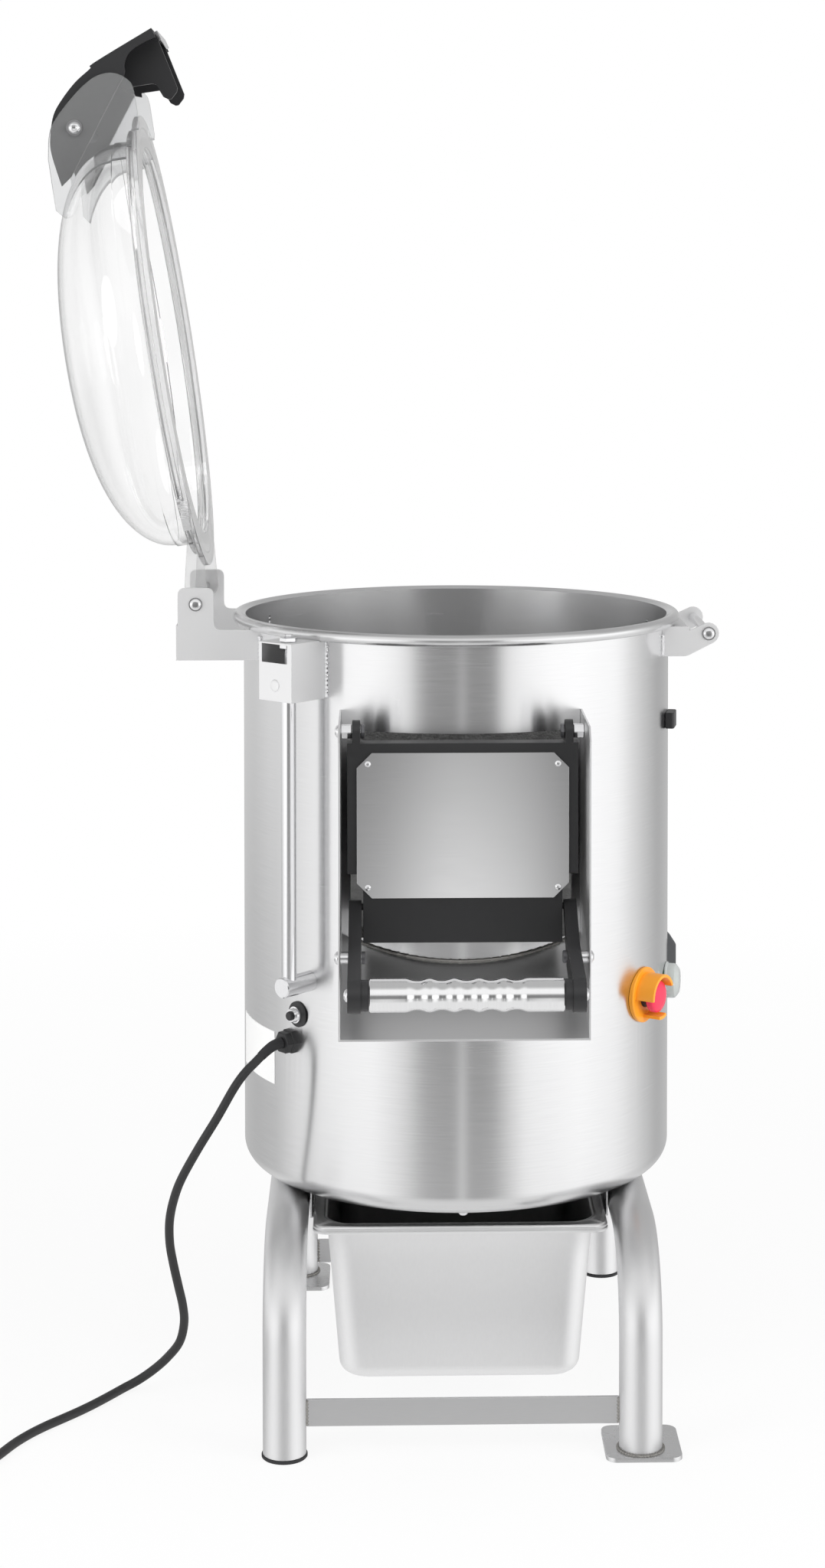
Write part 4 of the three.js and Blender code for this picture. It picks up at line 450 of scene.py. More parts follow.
def remade(node, name, body, finish, bevel=0.4, segments=2):
    """A bevelled copy of a CAD node that stands for it."""
    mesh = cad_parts[node].data.copy()
    made = bpy.data.objects.new(name, mesh)
    bpy.context.scene.collection.objects.link(made)
    clean = bmesh.new()
    clean.from_mesh(mesh)
    bmesh.ops.remove_doubles(clean, verts=clean.verts, dist=2e-6)
    bmesh.ops.dissolve_limit(clean, angle_limit=math.radians(0.5), verts=clean.verts, edges=clean.edges)
    bmesh.ops.recalc_face_normals(clean, faces=clean.faces)
    clean.to_mesh(mesh)
    clean.free()
    return dress(made, body, finish, bevel, segments, nodes=(node,))


# Materials

class Term:
    """A socket on which arithmetic adds Math nodes."""

    def __init__(self, paint, socket):
        self.paint = paint
        self.socket = socket

    def math(self, operation, *others):
        """A Math node of this socket and others."""
        return self.paint.node("ShaderNodeMath", {"operation": operation}, [self, *others])

    def __add__(self, other):
        return self.math("ADD", other)

    __radd__ = __add__

    def __mul__(self, other):
        return self.math("MULTIPLY", other)

    __rmul__ = __mul__

    def __sub__(self, other):
        return self.math("SUBTRACT", other)

    def __rsub__(self, other):
        return self.paint.node("ShaderNodeMath", {"operation": "SUBTRACT"}, [other, self])

    def __truediv__(self, other):
        return self.math("DIVIDE", other)

    def clip(self):
        """This value held between 0 and 1."""
        return self.paint.node("ShaderNodeClamp", {}, [self])


class Paint:
    """A node tree that is written as expressions."""

    def __init__(self, name, world=False):
        self.block = bpy.data.worlds.new(name) if world else bpy.data.materials.new(name)
        self.block.use_nodes = True
        self.tree = self.block.node_tree
        self.tree.nodes.clear()
        self.kind = "ShaderNodeOutputWorld" if world else "ShaderNodeOutputMaterial"

    def node(self, kind, settings=None, inputs=(), output=0):
        """Adds a node: its settings first, then values or links by place or name."""
        made = self.tree.nodes.new(kind)
        for key, value in (settings or {}).items():
            if key == "stops":
                ramp = made.color_ramp
                while len(ramp.elements) > 1:
                    ramp.elements.remove(ramp.elements[-1])
                for at, (place, shade) in enumerate(value):
                    stop = ramp.elements[0] if at == 0 else ramp.elements.new(place)
                    stop.position = place
                    stop.color = (shade, shade, shade, 1)
            else:
                setattr(made, key, value)
        pairs = inputs.items() if isinstance(inputs, dict) else enumerate(inputs)
        for key, value in pairs:
            if isinstance(value, Term):
                self.tree.links.new(value.socket, made.inputs[key])
            elif value is not None:
                made.inputs[key].default_value = value
        return Term(self, made.outputs[output])

    def point(self, scale=(1, 1, 1)):
        """Object coordinates in metres, scaled along each axis."""
        here = self.node("ShaderNodeTexCoord", output="Object")
        return self.node("ShaderNodeVectorMath", {"operation": "MULTIPLY"}, [here, scale])

    def noise(self, scale, stretch, detail):
        """Noise over the object, stretched along each axis."""
        return self.node("ShaderNodeTexNoise", {"noise_dimensions": "3D"}, {
            "Vector": self.point(stretch), "Scale": scale, "Detail": detail,
            "Roughness": NOISE_ROUGHNESS,
        })

    def mix(self, factor, first, second):
        """A blend of two colours."""
        return self.node("ShaderNodeMix", {"data_type": "RGBA"}, {0: factor, 6: first, 7: second}, 2)

    def bump(self, height, strength, distance):
        """A bump from a height."""
        return self.node("ShaderNodeBump", {}, {
            "Strength": strength, "Distance": distance, "Height": height,
        })

    def surface(self, **inputs):
        """A Principled shader on the output."""
        named = {key.replace("_", " "): value for key, value in inputs.items()}
        shader = self.node("ShaderNodeBsdfPrincipled", {}, named)
        return self.finish(shader)

    def finish(self, shader):
        """Links a shader to the output."""
        output = self.tree.nodes.new(self.kind)
        self.tree.links.new(shader.socket, output.inputs["Surface"])
        return self.block


# How the noise is stretched along each axis: a small number draws the grain out
EVEN = (1, 1, 1)
ROUND_GRAIN = (0.012, 0.012, 1.0)
SHEET_GRAIN = (0.02, 0.02, 1.0)
PRESSED_GRAIN = (1.0, 1.0, 0.3)
NOISE_ROUGHNESS = 0.55
BROAD_SCALE = 6.0
FINE_CONTRAST = 1.6
FINE_SHARE = 0.08
BROAD_SHARE = 0.04
STEEL_BUMP = 0.06
QUARTER_TURN = 0.25
GRIT_SCALE = 420.0


def rgb(value):
    """A colour with its alpha."""
    return (*value, 1.0)


def scaled(colour, share):
    """A lighter or darker colour, no lighter than white."""
    return rgb([min(1, c * share) for c in colour])


def steel(name, colour, rough, stretch, grain=2600.0, streak=0.045, depth=0.000003, brushed=0.0):
    """Brushed or satin stainless steel, with grain along a direction.

    A brushed one blurs what it mirrors along the drum's axis more than across it.
    """
    paint = Paint(name)
    fine = paint.noise(grain, stretch, 2.0)
    broad = paint.noise(BROAD_SCALE, (1, 1, 1.6), 3.0)
    tint = paint.mix((fine - 0.5) * FINE_CONTRAST + 0.5, scaled(colour, 1 - streak), rgb(colour))
    roughness = (fine - 0.5) * FINE_SHARE + (broad - 0.5) * BROAD_SHARE + rough
    normal = paint.bump(fine, STEEL_BUMP, depth)
    return paint.surface(Base_Color=tint, Metallic=1.0, Roughness=roughness, Normal=normal,
                         Anisotropic=brushed, Anisotropic_Rotation=QUARTER_TURN)


def plastic(name, colour, rough, grain=1400.0, strength=0.25, depth=0.00004, variation=0.06):
    """Moulded plastic with a fine texture."""
    paint = Paint(name)
    fine = paint.noise(grain, EVEN, 2.0)
    broad = paint.noise(18.0, EVEN, 3.0)
    tint = paint.mix(broad, scaled(colour, 1 - variation), scaled(colour, 1 + variation))
    roughness = (broad - 0.5) * 0.12 + rough
    normal = paint.bump(fine, strength, depth)
    return paint.surface(Base_Color=tint, Roughness=roughness, Normal=normal)


def clear(name, colour, rough, share=1.0, index=1.45):
    """Clear polycarbonate with faint rub marks."""
    paint = Paint(name)
    marks = paint.noise(40.0, (1, 1, 3), 4.0)
    roughness = (marks - 0.5) * 0.04 + rough
    return paint.surface(Base_Color=rgb(colour), Roughness=roughness, Transmission_Weight=share,
                         IOR=index)


def grit(name, colour):
    """Coarse abrasive grain set in resin."""
    paint = Paint(name)
    cells = paint.node("ShaderNodeTexVoronoi", {"feature": "F1"}, {
        "Vector": paint.point(), "Scale": GRIT_SCALE,
    })
    coarse = paint.noise(90.0, EVEN, 4.0)
    tint = paint.mix(coarse, scaled(colour, 0.55), scaled(colour, 1.5))
    height = 1 - cells + coarse * 0.6
    normal = paint.bump(height, 0.9, 0.0008)
    return paint.surface(Base_Color=tint, Roughness=0.92, Normal=normal)


# Properties

class PeelerSizes(bpy.types.PropertyGroup):
    """Sizes that a user would change."""

    drum_segments: bpy.props.IntProperty(
        name="Drum Segments", description="Segments round the drum", default=160, min=24)
    edge_bevel: bpy.props.FloatProperty(
        name="Sheet Edge", description="Bevel on the edges of sheet metal, in millimetres",
        default=0.4, min=0.05, max=1.0)
    moulded_bevel: bpy.props.FloatProperty(
        name="Moulded Edge", description="Bevel on the edges of moulded plastic, in millimetres",
        default=1.2, min=0.1, max=3.0)
    cord_diameter: bpy.props.FloatProperty(
        name="Cord Diameter", description="Diameter of the power cord",
        default=0.008, min=0.004, max=0.012, unit="LENGTH")


class PeelerLooks(bpy.types.PropertyGroup):
    """Colours that a user would change."""

    drum: bpy.props.FloatVectorProperty(
        name="Drum", description="Colour of the brushed steel", subtype="COLOR",
        default=(0.78, 0.78, 0.785), min=0, max=1)
    tube: bpy.props.FloatVectorProperty(
        name="Tube", description="Colour of the satin tubes", subtype="COLOR",
        default=(0.80, 0.80, 0.805), min=0, max=1)
    plastic: bpy.props.FloatVectorProperty(
        name="Plastic", description="Colour of the black plastic", subtype="COLOR",
        default=(0.017, 0.017, 0.018), min=0, max=1)
    guard: bpy.props.FloatVectorProperty(
        name="Guard", description="Colour of the stop button's guard", subtype="COLOR",
        default=(0.93, 0.36, 0.022), min=0, max=1)
    stop: bpy.props.FloatVectorProperty(
        name="Stop", description="Colour of the stop button", subtype="COLOR",
        default=(0.85, 0.03, 0.09), min=0, max=1)
    start: bpy.props.FloatVectorProperty(
        name="Start", description="Colour of the start button", subtype="COLOR",
        default=(0.05, 0.42, 0.18), min=0, max=1)


class PEELER_OT_finishes(bpy.types.Operator):
    """Make the materials of every piece"""

    bl_idname = "peeler.finishes"
    bl_label = "Finishes"

    def execute(self, context):
        looks = context.scene.peeler_looks
        black = tuple(looks.plastic)
        FINISH.update(
            drum=steel("BrushedDrum", tuple(looks.drum), 0.25, ROUND_GRAIN, streak=0.075, brushed=0.8),
            # The drum's own steel made lighter on its inside: painted light where the inside of the drum
            # is in shade
            inside=steel("DrumInsidePaintedLight", (0.86, 0.86, 0.865), 0.25, ROUND_GRAIN, streak=0.03,
                         depth=0.000001, brushed=0.8),
            bracket=steel("BracketSteel", (0.93, 0.93, 0.933), 0.58, EVEN, 900.0, 0.02),
            bar=steel("BarSteel", (0.72, 0.72, 0.725), 0.42, (0.1, 1.0, 1.0), 900.0, 0.03),
            sheet=steel("SheetSteel", (0.74, 0.74, 0.745), 0.27, SHEET_GRAIN),
            chute=steel("ChuteSheet", (0.92, 0.92, 0.923), 0.38, SHEET_GRAIN, 1800.0, 0.02),
            plate=steel("DoorPlate", (0.74, 0.74, 0.745), 0.09, (0.012, 1.0, 1.0), brushed=0.7),
            tube=steel("SatinTube", tuple(looks.tube), 0.44, (1.0, 1.0, 0.2), 500.0, 0.03),
            pan=steel("PanSteel", (0.94, 0.94, 0.943), 0.54, PRESSED_GRAIN, 600.0, 0.03),
            # The pan's own pressed steel darkened on its inside: painted shade in the hollow under the
            # drum
            hollow=steel("PanInsidePaintedShade", (0.42, 0.42, 0.423), 0.3, PRESSED_GRAIN, 600.0, 0.03),
            polished=steel("PolishedSteel", (0.83, 0.83, 0.84), 0.15, EVEN, 400.0, 0.05),
            grip=steel("TurnedAluminium", (0.92, 0.92, 0.925), 0.15, (1.0, 0.05, 0.05), 700.0, 0.05),
            # Dark metal for the drive's castings, shafts and nuts; on the steel cover under the drum it
            # is painted shade
            iron=steel("DarkMetalAndPaintedShade", (0.20, 0.20, 0.21), 0.5, EVEN, 300.0),
            weld=steel("WeldBead", (0.42, 0.41, 0.39), 0.42, EVEN, 300.0, 0.3, 0.0001),
            black=plastic("BlackPlastic", black, 0.42),
            satin_black=plastic("SatinBlackPlastic", [c * 1.2 for c in black], 0.34, 900.0, 0.4,
                                0.00008),
            grey=plastic("GreyPlastic", (0.075, 0.078, 0.082), 0.5),
            rubber=plastic("BlackRubber", (0.022, 0.022, 0.024), 0.7),
            cord=plastic("CordJacket", (0.018, 0.018, 0.019), 0.5, 700.0),
            orange=plastic("OrangePlastic", tuple(looks.guard), 0.3, 1400.0, 0.1, 0.00002),
            red=plastic("RedPlastic", tuple(looks.stop), 0.28, 1400.0, 0.1, 0.00002),
            green=plastic("GreenPlastic", tuple(looks.start), 0.35, 1400.0, 0.1, 0.00002),
            label=plastic("BlankLabel", (0.90, 0.90, 0.895), 0.45, 1400.0, 0.05, 0.00001, 0.01),
            clear=clear("ClearLid", (0.99, 0.99, 0.99), 0.0, 1.0, 1.37),
            frosted=clear("ClearRing", (0.86, 0.86, 0.862), 0.05, 0.84, 1.5),
            ear=clear("ClearEar", (0.84, 0.845, 0.85), 0.05, 0.88),
            boot=clear("ClearBoot", (0.84, 0.87, 0.86), 0.22, 0.55),
            grit=grit("AbrasiveGrit", (0.15, 0.15, 0.148)),
        )
        return {"FINISHED"}


# Stage

PHOTO_FOCUS = 3667.6
PHOTO_HEIGHT = 2048
SENSOR = 36
CAMERA_PITCH = 1.86
CAMERA_TURN = -1.5
CAMERA_AT = (-1.53, -2646.9, 1020.7)
CAMERA_SHIFT = (-0.0267, -0.26)
FLOOR_REACH = 6000
FLOOR_SHADOW_SHARE = 0.12
LAMP_AIM = (0, 0, 500)
LAMPS = (
    ("lamp_top", (0, -300, 2900), 1.8, 25),
    ("lamp_left", (-2100, -1700, 1500), 1.6, 28),
    ("lamp_right", (2300, -1500, 1300), 1.6, 36),
)

# What the metal mirrors round the horizon, and under it: (share of a turn from the back, light)
LEVEL_LIGHT = (
    (0.00, 0.62), (0.11, 0.80), (0.17, 1.08), (0.24, 1.08), (0.30, 1.30), (0.33, 1.42), (0.40, 1.50),
    (0.425, 1.28), (0.442, 0.50), (0.456, 0.21), (0.498, 0.20), (0.5046, 0.30), (0.5061, 0.60),
    (0.5078, 0.30), (0.512, 0.18), (0.552, 0.22), (0.561, 0.85), (0.571, 1.36), (0.64, 1.50),
    (0.76, 1.42), (0.80, 0.95), (0.835, 0.70), (0.88, 0.48), (0.96, 0.55), (1.00, 0.62),
)
LOWER_LIGHT = (
    (0.00, 0.60), (0.12, 0.52), (0.18, 0.55), (0.24, 0.94), (0.31, 1.16), (0.37, 1.20), (0.41, 0.85),
    (0.45, 0.48), (0.49, 0.38), (0.496, 0.38), (0.500, 0.58), (0.503, 0.98), (0.5061, 1.85),
    (0.5078, 0.98), (0.511, 0.36), (0.55, 0.42), (0.573, 0.62), (0.600, 1.10), (0.69, 1.30),
    (0.76, 1.12), (0.83, 0.75), (0.88, 0.52), (0.96, 0.60), (1.00, 0.60),
)


class PEELER_OT_stage(bpy.types.Operator):
    """Set the camera, the lamps, the surroundings and the pale floor"""

    bl_idname = "peeler.stage"
    bl_label = "Stage"

    def execute(self, context):
        self.camera(context.scene)
        self.surroundings(context.scene)
        self.floor()
        self.lamps(context.scene)
        context.scene.view_settings.view_transform = "Standard"
        return {"FINISHED"}

    def camera(self, scene):
        """The photograph's view: from in front, a little above the open drum."""
        data = bpy.data.cameras.new("camera")
        data.sensor_width = SENSOR
        data.lens = PHOTO_FOCUS / PHOTO_HEIGHT * SENSOR
        data.shift_x, data.shift_y = CAMERA_SHIFT
        turn = Matrix.Rotation(math.radians(CAMERA_TURN), 4, "Z")
        look = Matrix.Rotation(math.radians(90) - math.radians(CAMERA_PITCH), 4, "X")
        place = turn @ Matrix.Translation(CAMERA_AT) @ look
        made = bpy.data.objects.new("camera", data)
        made.matrix_world = Matrix.Translation(TO_ROW @ place.translation) @ place.to_3x3().to_4x4()
        scene.collection.objects.link(made)
        scene.camera = made

    def surroundings(self, scene):
        """White to the eye, and soft boxes and dark gaps to the metal."""
        paint = Paint("studio", world=True)
        way = paint.node("ShaderNodeTexCoord", output="Generated")
        right, ahead, up = [paint.node("ShaderNodeSeparateXYZ", {}, [way], axis) for axis in "XYZ"]
        turn = right.math("ARCTAN2", ahead * -1.0) / (2 * math.pi) + 0.5
        level = paint.node("ShaderNodeValToRGB", {"stops": LEVEL_LIGHT}, [turn])
        lower = paint.node("ShaderNodeValToRGB", {"stops": LOWER_LIGHT}, [turn])
        ring = paint.mix((up * -9.0 - 1.1).clip(), level, lower)
        above = (up * 3.2 - 0.3).clip()
        below = (up * -4.0 - 1.5).clip()
        walls = paint.mix(below, ring, rgb((0.86, 0.86, 0.86)))
        high = paint.mix(above, walls, rgb((0.50, 0.50, 0.50)))
        band = (up * 6.0 - 1.2).clip() * (up * -6.0 + 5.5).clip() * (ahead * -2.5).clip()
        sky = paint.mix(band, high, rgb((1.00, 1.00, 1.00)))
        camera = paint.node("ShaderNodeLightPath", output="Is Camera Ray")
        through = paint.node("ShaderNodeLightPath", output="Is Transmission Ray")
        behind = (ahead * 4.0 - 2.4).clip()
        white = (camera + through * behind).clip()
        dimmed = paint.mix(through * 0.42, sky, rgb((0, 0, 0)))
        shade = paint.mix(white, dimmed, rgb((1, 1, 1)))
        light = paint.node("ShaderNodeBackground", {}, {"Color": shade, "Strength": 1.0})
        scene.world = paint.finish(light)

    def floor(self):
        """A wide pale floor that keeps the shadow."""
        far = FLOOR_REACH
        corners = [(-far, -far, 0), (far, -far, 0), (far, far, 0), (-far, far, 0)]
        made = mesh_object("floor", Solid().add(corners, [(0, 1, 2, 3)]))
        paint = Paint("PaleFloor")
        camera = paint.node("ShaderNodeLightPath", output="Is Camera Ray")
        through = paint.node("ShaderNodeLightPath", output="Is Transmission Ray")
        matt = paint.node("ShaderNodeBsdfDiffuse", {}, {"Color": rgb((0.78, 0.78, 0.78))})
        glow = paint.node("ShaderNodeEmission", {}, {"Color": rgb((1, 1, 1)), "Strength": 1.0})
        here = paint.node("ShaderNodeVectorMath", {"operation": "LENGTH"}, [paint.point()], 1)
        away = (here * 0.9 - 0.75).clip()
        share = (camera + through).clip() * (away * FLOOR_SHADOW_SHARE + (1 - FLOOR_SHADOW_SHARE))
        seen = paint.node("ShaderNodeMixShader", {}, [share, matt, glow])
        mirrored = paint.node("ShaderNodeLightPath", output="Is Glossy Ray")
        nothing = paint.node("ShaderNodeBsdfTransparent")
        made.data.materials.append(paint.finish(
            paint.node("ShaderNodeMixShader", {}, [mirrored, seen, nothing])))

    def lamps(self, scene):
        """A soft box above, and a weak one at each side."""
        for name, at, size, power in LAMPS:
            data = bpy.data.lights.new(name, "AREA")
            data.shape = "DISK"
            data.size = size
            data.energy = power
            made = bpy.data.objects.new(name, data)
            place = TO_ROW @ Vector(at)
            made.location = place
            made.rotation_euler = (TO_ROW @ Vector(LAMP_AIM) - place).to_track_quat("-Z", "Y").to_euler()
            made.visible_glossy = False
            scene.collection.objects.link(made)


# Cord

CORD_POINTS = [
    (-168, -144, 338.4), (-174.8, -149.4, 334.3), (-182.5, -153.9, 327.5), (-192.6, -158, 318),
    (-202.5, -159.8, 304.5), (-217.2, -159.4, 278.5), (-234.1, -156.9, 250.4), (-249.6, -151.5, 221.4),
    (-257.2, -145.3, 200.2), (-261.5, -138.2, 178.6), (-261.9, -131.2, 156.2), (-259.4, -123.3, 134.7),
    (-255.5, -114.4, 110.7), (-252.1, -106.4, 89.7), (-251.6, -98.4, 70.7), (-256.3, -91.3, 50.5),
    (-268, -84.5, 33.7), (-281, -79.2, 20.5), (-295.4, -76.3, 9.6), (-309, -81.9, 4.2),
    (-321.3, -101.5, 4.2), (-333.5, -119.9, 4.2), (-345.7, -136.3, 4.2), (-357.9, -151.2, 4.2),
    (-370, -165.9, 4.2), (-381.7, -182.5, 4.2), (-392.8, -202.3, 4.2), (-403.2, -226.8, 4.2),
    (-414.6, -252, 4.2),
]
GLAND_AZIMUTH = -49.4
GLAND_Z = 339.5
GLAND_NOSE = 212
COIL_CENTRE = (-472.8, -253.4)
COIL_START = -26.6
COIL_RADIUS = 52
COIL_PITCH = 8.85
COIL_RISE = 8.8
COIL_IN = 2
COIL_CLIMB = 0.3
COIL_OUT = 2.2
COIL_STEPS = 24
CORD_FLOOR = 4.2
SLEEVE_LENGTH = 23
SLEEVE_WALL = 0.25
SLEEVE_FLARE = 0.9
PLUG_RADIUS = 18
PLUG_LENGTH = 42
PLUG_NOSE = 22


def coil_line():
    """The coil's middle line, with the short tail that rises to the plug."""
    line = []
    steps = round((COIL_IN + COIL_CLIMB + COIL_OUT) * COIL_STEPS)
    for step in range(steps + 1):
        turn = step / COIL_STEPS
        climbed = min(max((turn - COIL_IN) / COIL_CLIMB, 0), 1)
        outward = max(turn - COIL_IN - COIL_CLIMB, 0)
        radius = COIL_RADIUS - COIL_PITCH * (min(turn, COIL_IN) - outward)
        angle = math.radians(COIL_START - turn * 360)
        line.append(Vector((
            COIL_CENTRE[0] + radius * math.cos(angle),
            COIL_CENTRE[1] + radius * math.sin(angle),
            CORD_FLOOR + COIL_RISE * climbed,
        )))
    heading = (line[-1] - line[-2]).normalized()
    end = line[-1].copy()
    rise = (PLUG_RADIUS - end.z) / 3
    for step in (1, 2, 3):
        line.append(end + heading * step * 9.6 + Vector((0, 0, step * rise)))
    line.append(line[-1] + heading * 8)
    return line, heading


class PEELER_OT_cord(bpy.types.Operator):
    """Lay the power cord, its coil, its plug and its gland"""

    bl_idname = "peeler.cord"
    bl_label = "Cord"

    def execute(self, context):
        size = context.scene.peeler_sizes.cord_diameter / MM
        place = wall_place(GLAND_AZIMUTH)
        nose = place @ Vector((GLAND_NOSE + 0.6, 0, GLAND_Z))
        coil, heading = coil_line()
        route = smooth_line([nose, *CORD_POINTS, coil[0]], 6)
        line = [Vector(p) for p in route[:-1]] + coil
        made = mesh_object("mains_cord", sweep(line, size / 2, 16))
        dress(made, "base", "cord", nodes=("power_cord", "cord_coil"))
        plug = self.plug(line[-1], heading)
        sleeve = self.strain_relief(line, size)
        path = [TO_ROW @ p for p in line]
        length = sum((b - a).length for a, b in zip(path, path[1:]))
        self.gland()
        return {"FINISHED"}

    def strain_relief(self, line, size):
        """A tapered sleeve where the cord leaves the gland."""
        reach = 0
        points = [line[0]]
        for a, b in zip(line, line[1:]):
            reach += (b - a).length
            points.append(b)
            if reach > SLEEVE_LENGTH:
                break
        last = len(points) - 1
        radii = [size / 2 + SLEEVE_WALL + SLEEVE_FLARE * (1 - at / last) for at in range(last + 1)]
        made = mesh_object("cord_sleeve", sweep(points, radii, 24))
        return dress(made, "base", "rubber")

    def gland(self):
        """A hexagonal gland, its smaller hexagonal cap and its shank through the wall."""
        place = wall_place(GLAND_AZIMUTH)
        face = DRUM_RADIUS
        flange = hexagon(20)
        cap = hexagon(18)
        whole = lathe_x([
            (9, face - 4.5), (flange, face - 4.5), (flange, face + 4.3), (flange - 0.9, face + 5.3),
            (9, face + 5.3),
        ], 6)
        whole.join(lathe_x([
            (4.6, face + 2), (cap, face + 2), (cap, GLAND_NOSE - 1.2), (cap - 1.1, GLAND_NOSE),
            (4.6, GLAND_NOSE),
        ], 6))
        whole.join(rod(9, 186.5, face + 3, 24, lathe_x))
        whole.shift(0, 0, GLAND_Z).moved(place)
        made = mesh_object("gland_body", whole)
        dress(made, "base", "black", 0.35, 2, 40, ("cable_gland",))

    def plug(self, at, heading):
        """A round two-pin plug with grip ribs."""
        bearing = math.atan2(heading.y, heading.x)
        half = PLUG_RADIUS
        profile = [(0, 0), (6, 0), (7, 4), (7.4, 10), (8, PLUG_NOSE)]
        profile += [(14.4, PLUG_NOSE + 2), (16.4, PLUG_NOSE + 8)]
        for rib in range(4):
            start = PLUG_NOSE + 12 + rib * 5
            profile += [(half - 0.2, start), (half - 0.2, start + 3), (half - 1.3, start + 3.5),
                        (half - 1.3, start + 4.5)]
        end = PLUG_NOSE + PLUG_LENGTH
        profile += [(half, end - 8), (half, end - 1), (half - 1, end), (0, end)]
        whole = lathe_x(profile, 48)
        for side in (-1, 1):
            pin = [(0, end - 2), (2.4, end - 2), (2.4, end + 15.5), (1.6, end + 17), (0, end + 17)]
            whole.join(lathe_x(pin, 24).shift(0, side * 9.5, 0))
        turn = Matrix.Translation(at + heading * 0.3) @ Matrix.Rotation(bearing, 4, "Z")
        return dress(mesh_object("mains_plug", whole.moved(turn)), "base", "cord",
                     nodes=("power_plug",))


# Drum

class PEELER_OT_drum(bpy.types.Operator):
    """Build the drum with its rolled rim and its openings"""

    bl_idname = "peeler.drum"
    bl_label = "Drum"

    def execute(self, context):
        segments = context.scene.peeler_sizes.drum_segments
        inner = DRUM_RADIUS - DRUM_WALL
        bead = DRUM_RADIUS + RIM_BEAD
        low = DRUM_BOTTOM + DRUM_FILLET
        profile = [(MOUTH_RADIUS, DRUM_BOTTOM)]
        profile += arc(DRUM_RADIUS - DRUM_FILLET, low, DRUM_FILLET, -90, 0, 12)
        profile += [(DRUM_RADIUS, 400), (DRUM_RADIUS, 600), (DRUM_RADIUS, RIM_Z - 3)]
        profile += arc(bead, RIM_Z, RIM_BEAD, 208, 492, 22)
        profile += [(inner, RIM_Z + 2.5), (inner, 600), (inner, 400)]
        profile += arc(DRUM_RADIUS - DRUM_FILLET, low, DRUM_FILLET - DRUM_WALL, 0, -90, 10)
        profile += [(MOUTH_RADIUS, DRUM_BOTTOM + DRUM_WALL)]
        made = mesh_object("drum_body", lathe(profile, segments))
        opening = block((-OPENING_HALF, -DRUM_RADIUS - 9, OPENING_LOW),
                        (OPENING_HALF, -90, OPENING_HIGH))
        holes = ((BREAKER_AZIMUTH, BREAKER_Z, 6.25), (GLAND_AZIMUTH, GLAND_Z, 9.25),
                 (STOP_AZIMUTH, STOP_Z, 11.25), (START_AZIMUTH, START_Z, 11.25))
        drills = [rod(radius, 170, 220, 32, lathe_x).shift(0, 0, z).moved(wall_place(azimuth))
                  for azimuth, z, radius in holes]
        cut(made, opening, *drills)
        dress(made, "base", "drum", angle=34, nodes=("drum_shell",))
        # Inward faces take the lightened steel: painted light inside the drum
        made.data.materials.append(FINISH["inside"])
        limit = (inner + 0.4) * MM
        for face in made.data.polygons:
            centre = face.center - Vector((AXIS_X, AXIS_Y, 0))
            radial = Vector((centre.x, centre.y, 0))
            if radial.length < limit and face.normal.dot(radial) < 0:
                face.material_index = 1
        self.seam()
        self.label()
        self.bottom()
        return {"FINISHED"}

    def seam(self):
        """The dressed weld down the back of the drum."""
        points = [(0.6 * math.sin(z * 0.9), DRUM_RADIUS - 0.15, z) for z in range(222, 702, 6)]
        made = mesh_object("drum_seam", sweep(points, 0.9, 10))
        dress(made, "base", "weld")

    def label(self):
        """The blank rating plate on the drum's side."""
        start, end = -80.5, -57
        low, high = 294, 342
        verts = []
        steps = 24
        for radius in (DRUM_RADIUS + 0.35, DRUM_RADIUS + 0.02):
            for z in (low, high):
                for step in range(steps + 1):
                    angle = math.radians(start + (end - start) * step / steps)
                    verts.append((radius * math.sin(angle), -radius * math.cos(angle), z))
        columns = steps + 1
        faces = grid_faces(2, columns, wrap_columns=False)
        faces += [tuple(2 * columns + i for i in reversed(face)) for face in faces]
        made = Solid().add(verts, faces)
        for a, b in ((0, 2), (1, 3)):
            for step in range(steps):
                first, second = a * columns + step, b * columns + step
                made.faces.append((first, first + 1, second + 1, second))
        for edge in (0, steps):
            made.faces.append((edge, columns + edge, 3 * columns + edge, 2 * columns + edge))
        dress(mesh_object("rating_plate", made), "base", "label")

    def bottom(self):
        """The steel cover under the drum, darkened as painted shade, and the small screw at the front.
        """
        # The cover is steel; its dark finish is painted shade under the drum
        remade("bottom_cover", "drum_cover", "base", "iron", 0.3)
        screw = lathe([(0, 190), (4, 191), (6.3, 194), (7, 198), (7, 199.5), (0, 199.5)], 32)
        screw.shift(2, -163, 0)
        dress(mesh_object("drum_foot_screw", screw), "base", "polished")


# Stand

LEG_X = 155.5
LEG_Y = 225
LEG_RADIUS = 19
LEG_WALL = 1.5
LEG_BEND = 80
LEG_SIDES = 48
PLATE_THICK = 4
PLATE_INNER = -23
PLATE_OUTER = 49
PLATE_CORNER = 10
PLATE_STEPS = 8
END_ON_PLATE = 3.9
END_ON_FOOT = 3.3
TOP_RUN = DRUM_BOTTOM - 0.3 - LEG_RADIUS


def leg_path(x, front, back):
    """The middle line of one bent tube."""
    bend_y = LEG_Y - LEG_BEND
    bend_z = TOP_RUN - LEG_BEND
    line = [(-LEG_Y, front), (-LEG_Y, (front + bend_z) / 2)]
    line += arc(-bend_y, bend_z, LEG_BEND, 180, 90, 18)
    line += arc(bend_y, bend_z, LEG_BEND, 90, 0, 18)
    line += [(LEG_Y, (back + bend_z) / 2), (LEG_Y, back)]
    return [(x, y, z) for y, z in line]


